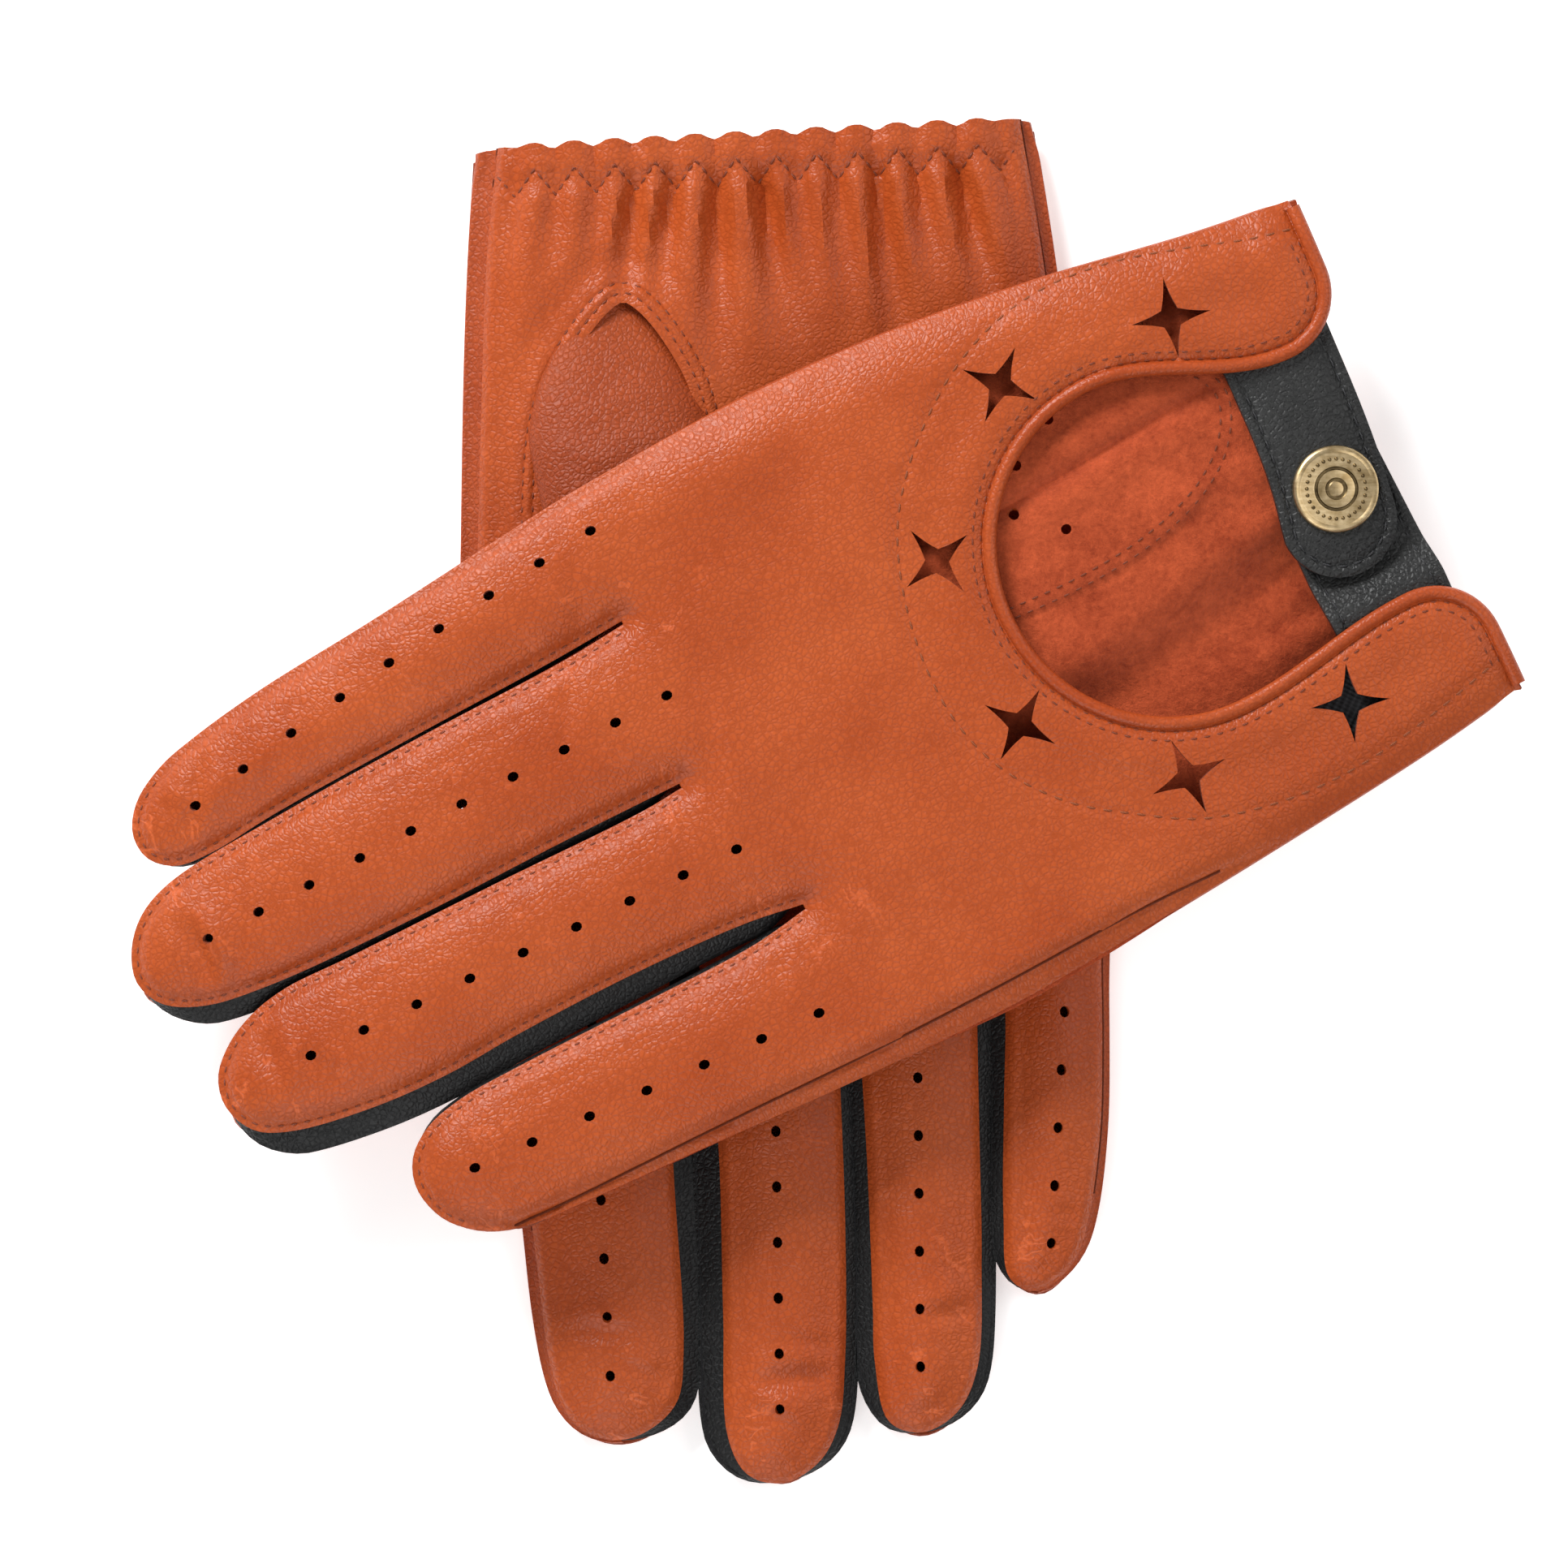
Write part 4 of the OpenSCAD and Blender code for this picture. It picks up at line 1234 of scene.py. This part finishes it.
def snapCap(side):
    # a cap of plain raised rings, built up from a disc's top face, with a ring of dots
    bpy.ops.object.select_all(action="DESELECT")
    bpy.ops.mesh.primitive_cylinder_add(vertices=72, radius=capShape[0][0] * mm, depth=0.2 * mm,
                                        location=(0, 0, 0.1 * mm))
    piece = bpy.context.object
    piece.name = side + "_cap_rings"
    bpy.ops.object.transform_apply(location=True)
    bpy.ops.object.mode_set(mode="EDIT")
    bpy.ops.mesh.select_all(action="DESELECT")
    bm = bmesh.from_edit_mesh(piece.data)
    for face in bm.faces:
        face.select = face.normal.z > 0.9
    bmesh.update_edit_mesh(piece.data)
    radius, height = capShape[0][0], 0.2
    for toRadius, toHeight in capShape[1:]:
        bpy.ops.mesh.extrude_region_move(TRANSFORM_OT_translate={"value": (0, 0, (toHeight - height) * mm)})
        bpy.ops.transform.resize(value=(toRadius / radius, toRadius / radius, 1))
        radius, height = toRadius, toHeight
    bpy.ops.object.mode_set(mode="OBJECT")
    piece.data.materials.append(brass)
    piece.data.materials.append(darkBrass)
    for face in piece.data.polygons:
        r = math.hypot(face.center.x, face.center.y) / mm
        face.material_index = int(any(low < r < high for low, high in capGrooves))
    for k in range(capDots["count"]):
        a = 2 * math.pi * k / capDots["count"]
        place = (capDots["ring"] * math.cos(a), capDots["ring"] * math.sin(a), capDots["height"])
        bpy.ops.mesh.primitive_uv_sphere_add(segments=10, ring_count=6, radius=capDots["radius"] * mm,
                                             location=[v * mm for v in place])
        dot = bpy.context.object
        dot.data.materials.append(darkBrass)
        dot.select_set(True)
        piece.select_set(True)
        bpy.context.view_layer.objects.active = piece
        bpy.ops.object.join()
    s, t = strap["at"]
    origin = wristWorld(side, s, t, strap["out"])
    axes = np.array([wristWorld(side, s + ds, t + dt, strap["out"] - up) - origin
                     for ds, dt, up in ((1, 0, 0), (0, 1, 0), (0, 0, 1))]) / mm
    flat = np.array([tuple(v.co) for v in piece.data.vertices])
    piece.data.vertices.foreach_set("co", (origin + flat @ axes).ravel())
    fixNormals(piece)
    finishPiece(piece, angle=35)
    attach(piece, side, "antique_brass", "snap_cap", body="_strap")


def elasticBand(side):
    # the elastic inside the gathered wrist, hidden under the palm's leather
    corners = np.array([(4, -38), (10, -38), (10, 38), (4, 38), (4, -38)]) + (9 if side == "left" else 0, 0)
    loop = evenly(corners, step=1)[:-1]
    flat, faces = fillSheet(loop, [], 1.2, ())
    depth = palmDepth(side, flat) - leather["thick"] - 0.12
    piece = leatherSheet(side + "_elastic", side, flat, faces, depth, side == "right", [webbing] * 3, 0.6)
    attach(piece, side, "black_webbing", "wrist_elastic")


keptNodes = {"snap_socket": brass, "snap_stud": brass, "snap_post": brass, "anchor_tape": webbing}
for side in sides:
    strapParts(side)
    elasticBand(side)
    snapCap(side)
    for node, material in keptNodes.items():
        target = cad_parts[side + "_" + node]
        target.data.materials.clear()
        target.data.materials.append(material)
print("straps made")

# Seams of the panels


def backSeams(side):
    depth = partial(backDepth, side)
    edges = []
    for finger in fingerNames:
        curve = fingerCurves[(side, "back")][finger]
        tip = int(np.argmax(curve[:, 0]))
        if finger == "little":
            curve = curve[tip - 14:]
        if finger == "index":
            curve = curve[:tip + 20]
        p = evenly(curve, step=1.0)
        edges.append(stitchRun(side, p - outward(p) * 1.15, depth, "finger"))
    joinRuns("finger_stitching", side, edges, tanThread)
    joinRuns("facing_stitching", side, [stitchRun(side, evenly(facingLine, step=1), depth, "facing")],
             amberThread)
    joinRuns("binding_stitching", side, [stitchRun(side, line, depth, "binding") for line in beadLines],
             tanThread)


def palmSeams(side):
    depth = partial(palmDepth, side)
    rows = (1.5, 3.3) if side == "right" else ()
    runs = [stitchRun(side, archCurve(grow, 76, 1.0), depth, "thumb", 1) for grow in rows]
    wristSeam = zigzag + np.outer(wristLine(side, zigzag[:, 1]), (1, 0))
    runs.append(stitchRun(side, evenly(wristSeam, step=0.4), depth, "wrist", 1))
    joinRuns("palm_stitching", side, runs, tanThread)


def innerThumbSeam():
    # the rows of stitching round the thumb, seen inside the upper glove
    line = evenly(innerSeam, step=1)
    rows = [stitchRun("left", line + outward(line) * grow,
                      lambda p: palmDepth("left", p) - leather["thick"], "thumb") for grow in (0, -1.8)]
    joinRuns("inner_thumb_stitching", "left", rows, tanThread)


for side in sides:
    backSeams(side)
    palmSeams(side)
innerThumbSeam()
print("seams made")

# Floor, light and camera

bpy.ops.mesh.primitive_plane_add(size=6, location=(0, 0, -0.0004))
floor = bpy.context.object
floor.name = "floor"
paper, place = startMaterial("Pale floor")
tone = noise(place, 3, 2)
closeMaterial(paper, place, {"Base Color": mixTones(tone, (0.93, 0.93, 0.93, 1), (0.97, 0.97, 0.97, 1)),
                             "Roughness": 0.9, "Emission Color": (1, 1, 1, 1), "Emission Strength": 0.45})
floor.data.materials.append(paper)

world = bpy.data.worlds.new("Studio")
world.use_nodes = True
world.node_tree.nodes["Background"].inputs[0].default_value = (1, 1, 1, 1)
world.node_tree.nodes["Background"].inputs[1].default_value = 0.29
bpy.context.scene.world = world
bpy.context.scene.view_settings.view_transform = "Standard"
lamps = {
    "key": {"at": (-0.62, 1.0, 0.78), "size": 0.5, "power": 22.5},
    "fill": {"at": (0.9, 0.3, 0.9), "size": 0.9, "power": 4.5},
    "front": {"at": (-0.2, -0.9, 0.9), "size": 0.9, "power": 7},
}
for name, lamp in lamps.items():
    light = bpy.data.lights.new(name, "AREA")
    light.energy = lamp["power"]
    light.size = lamp["size"]
    holder = bpy.data.objects.new(name, light)
    holder.location = lamp["at"]
    holder.rotation_euler = (-Vector(lamp["at"])).to_track_quat("-Z", "Y").to_euler()
    bpy.context.collection.objects.link(holder)

camera = {"centre": (-7.0, 2.7), "height": 1.7, "width": 270.5, "level": 16}
lens = bpy.data.cameras.new("camera")
lens.sensor_width = 36
lens.lens = 36 * (camera["height"] - camera["level"] * mm) / (camera["width"] * mm)
lens.clip_end = 10
eye = bpy.data.objects.new("camera", lens)
eye.location = (camera["centre"][0] * mm, camera["centre"][1] * mm, camera["height"])
bpy.context.collection.objects.link(eye)
bpy.context.scene.camera = eye
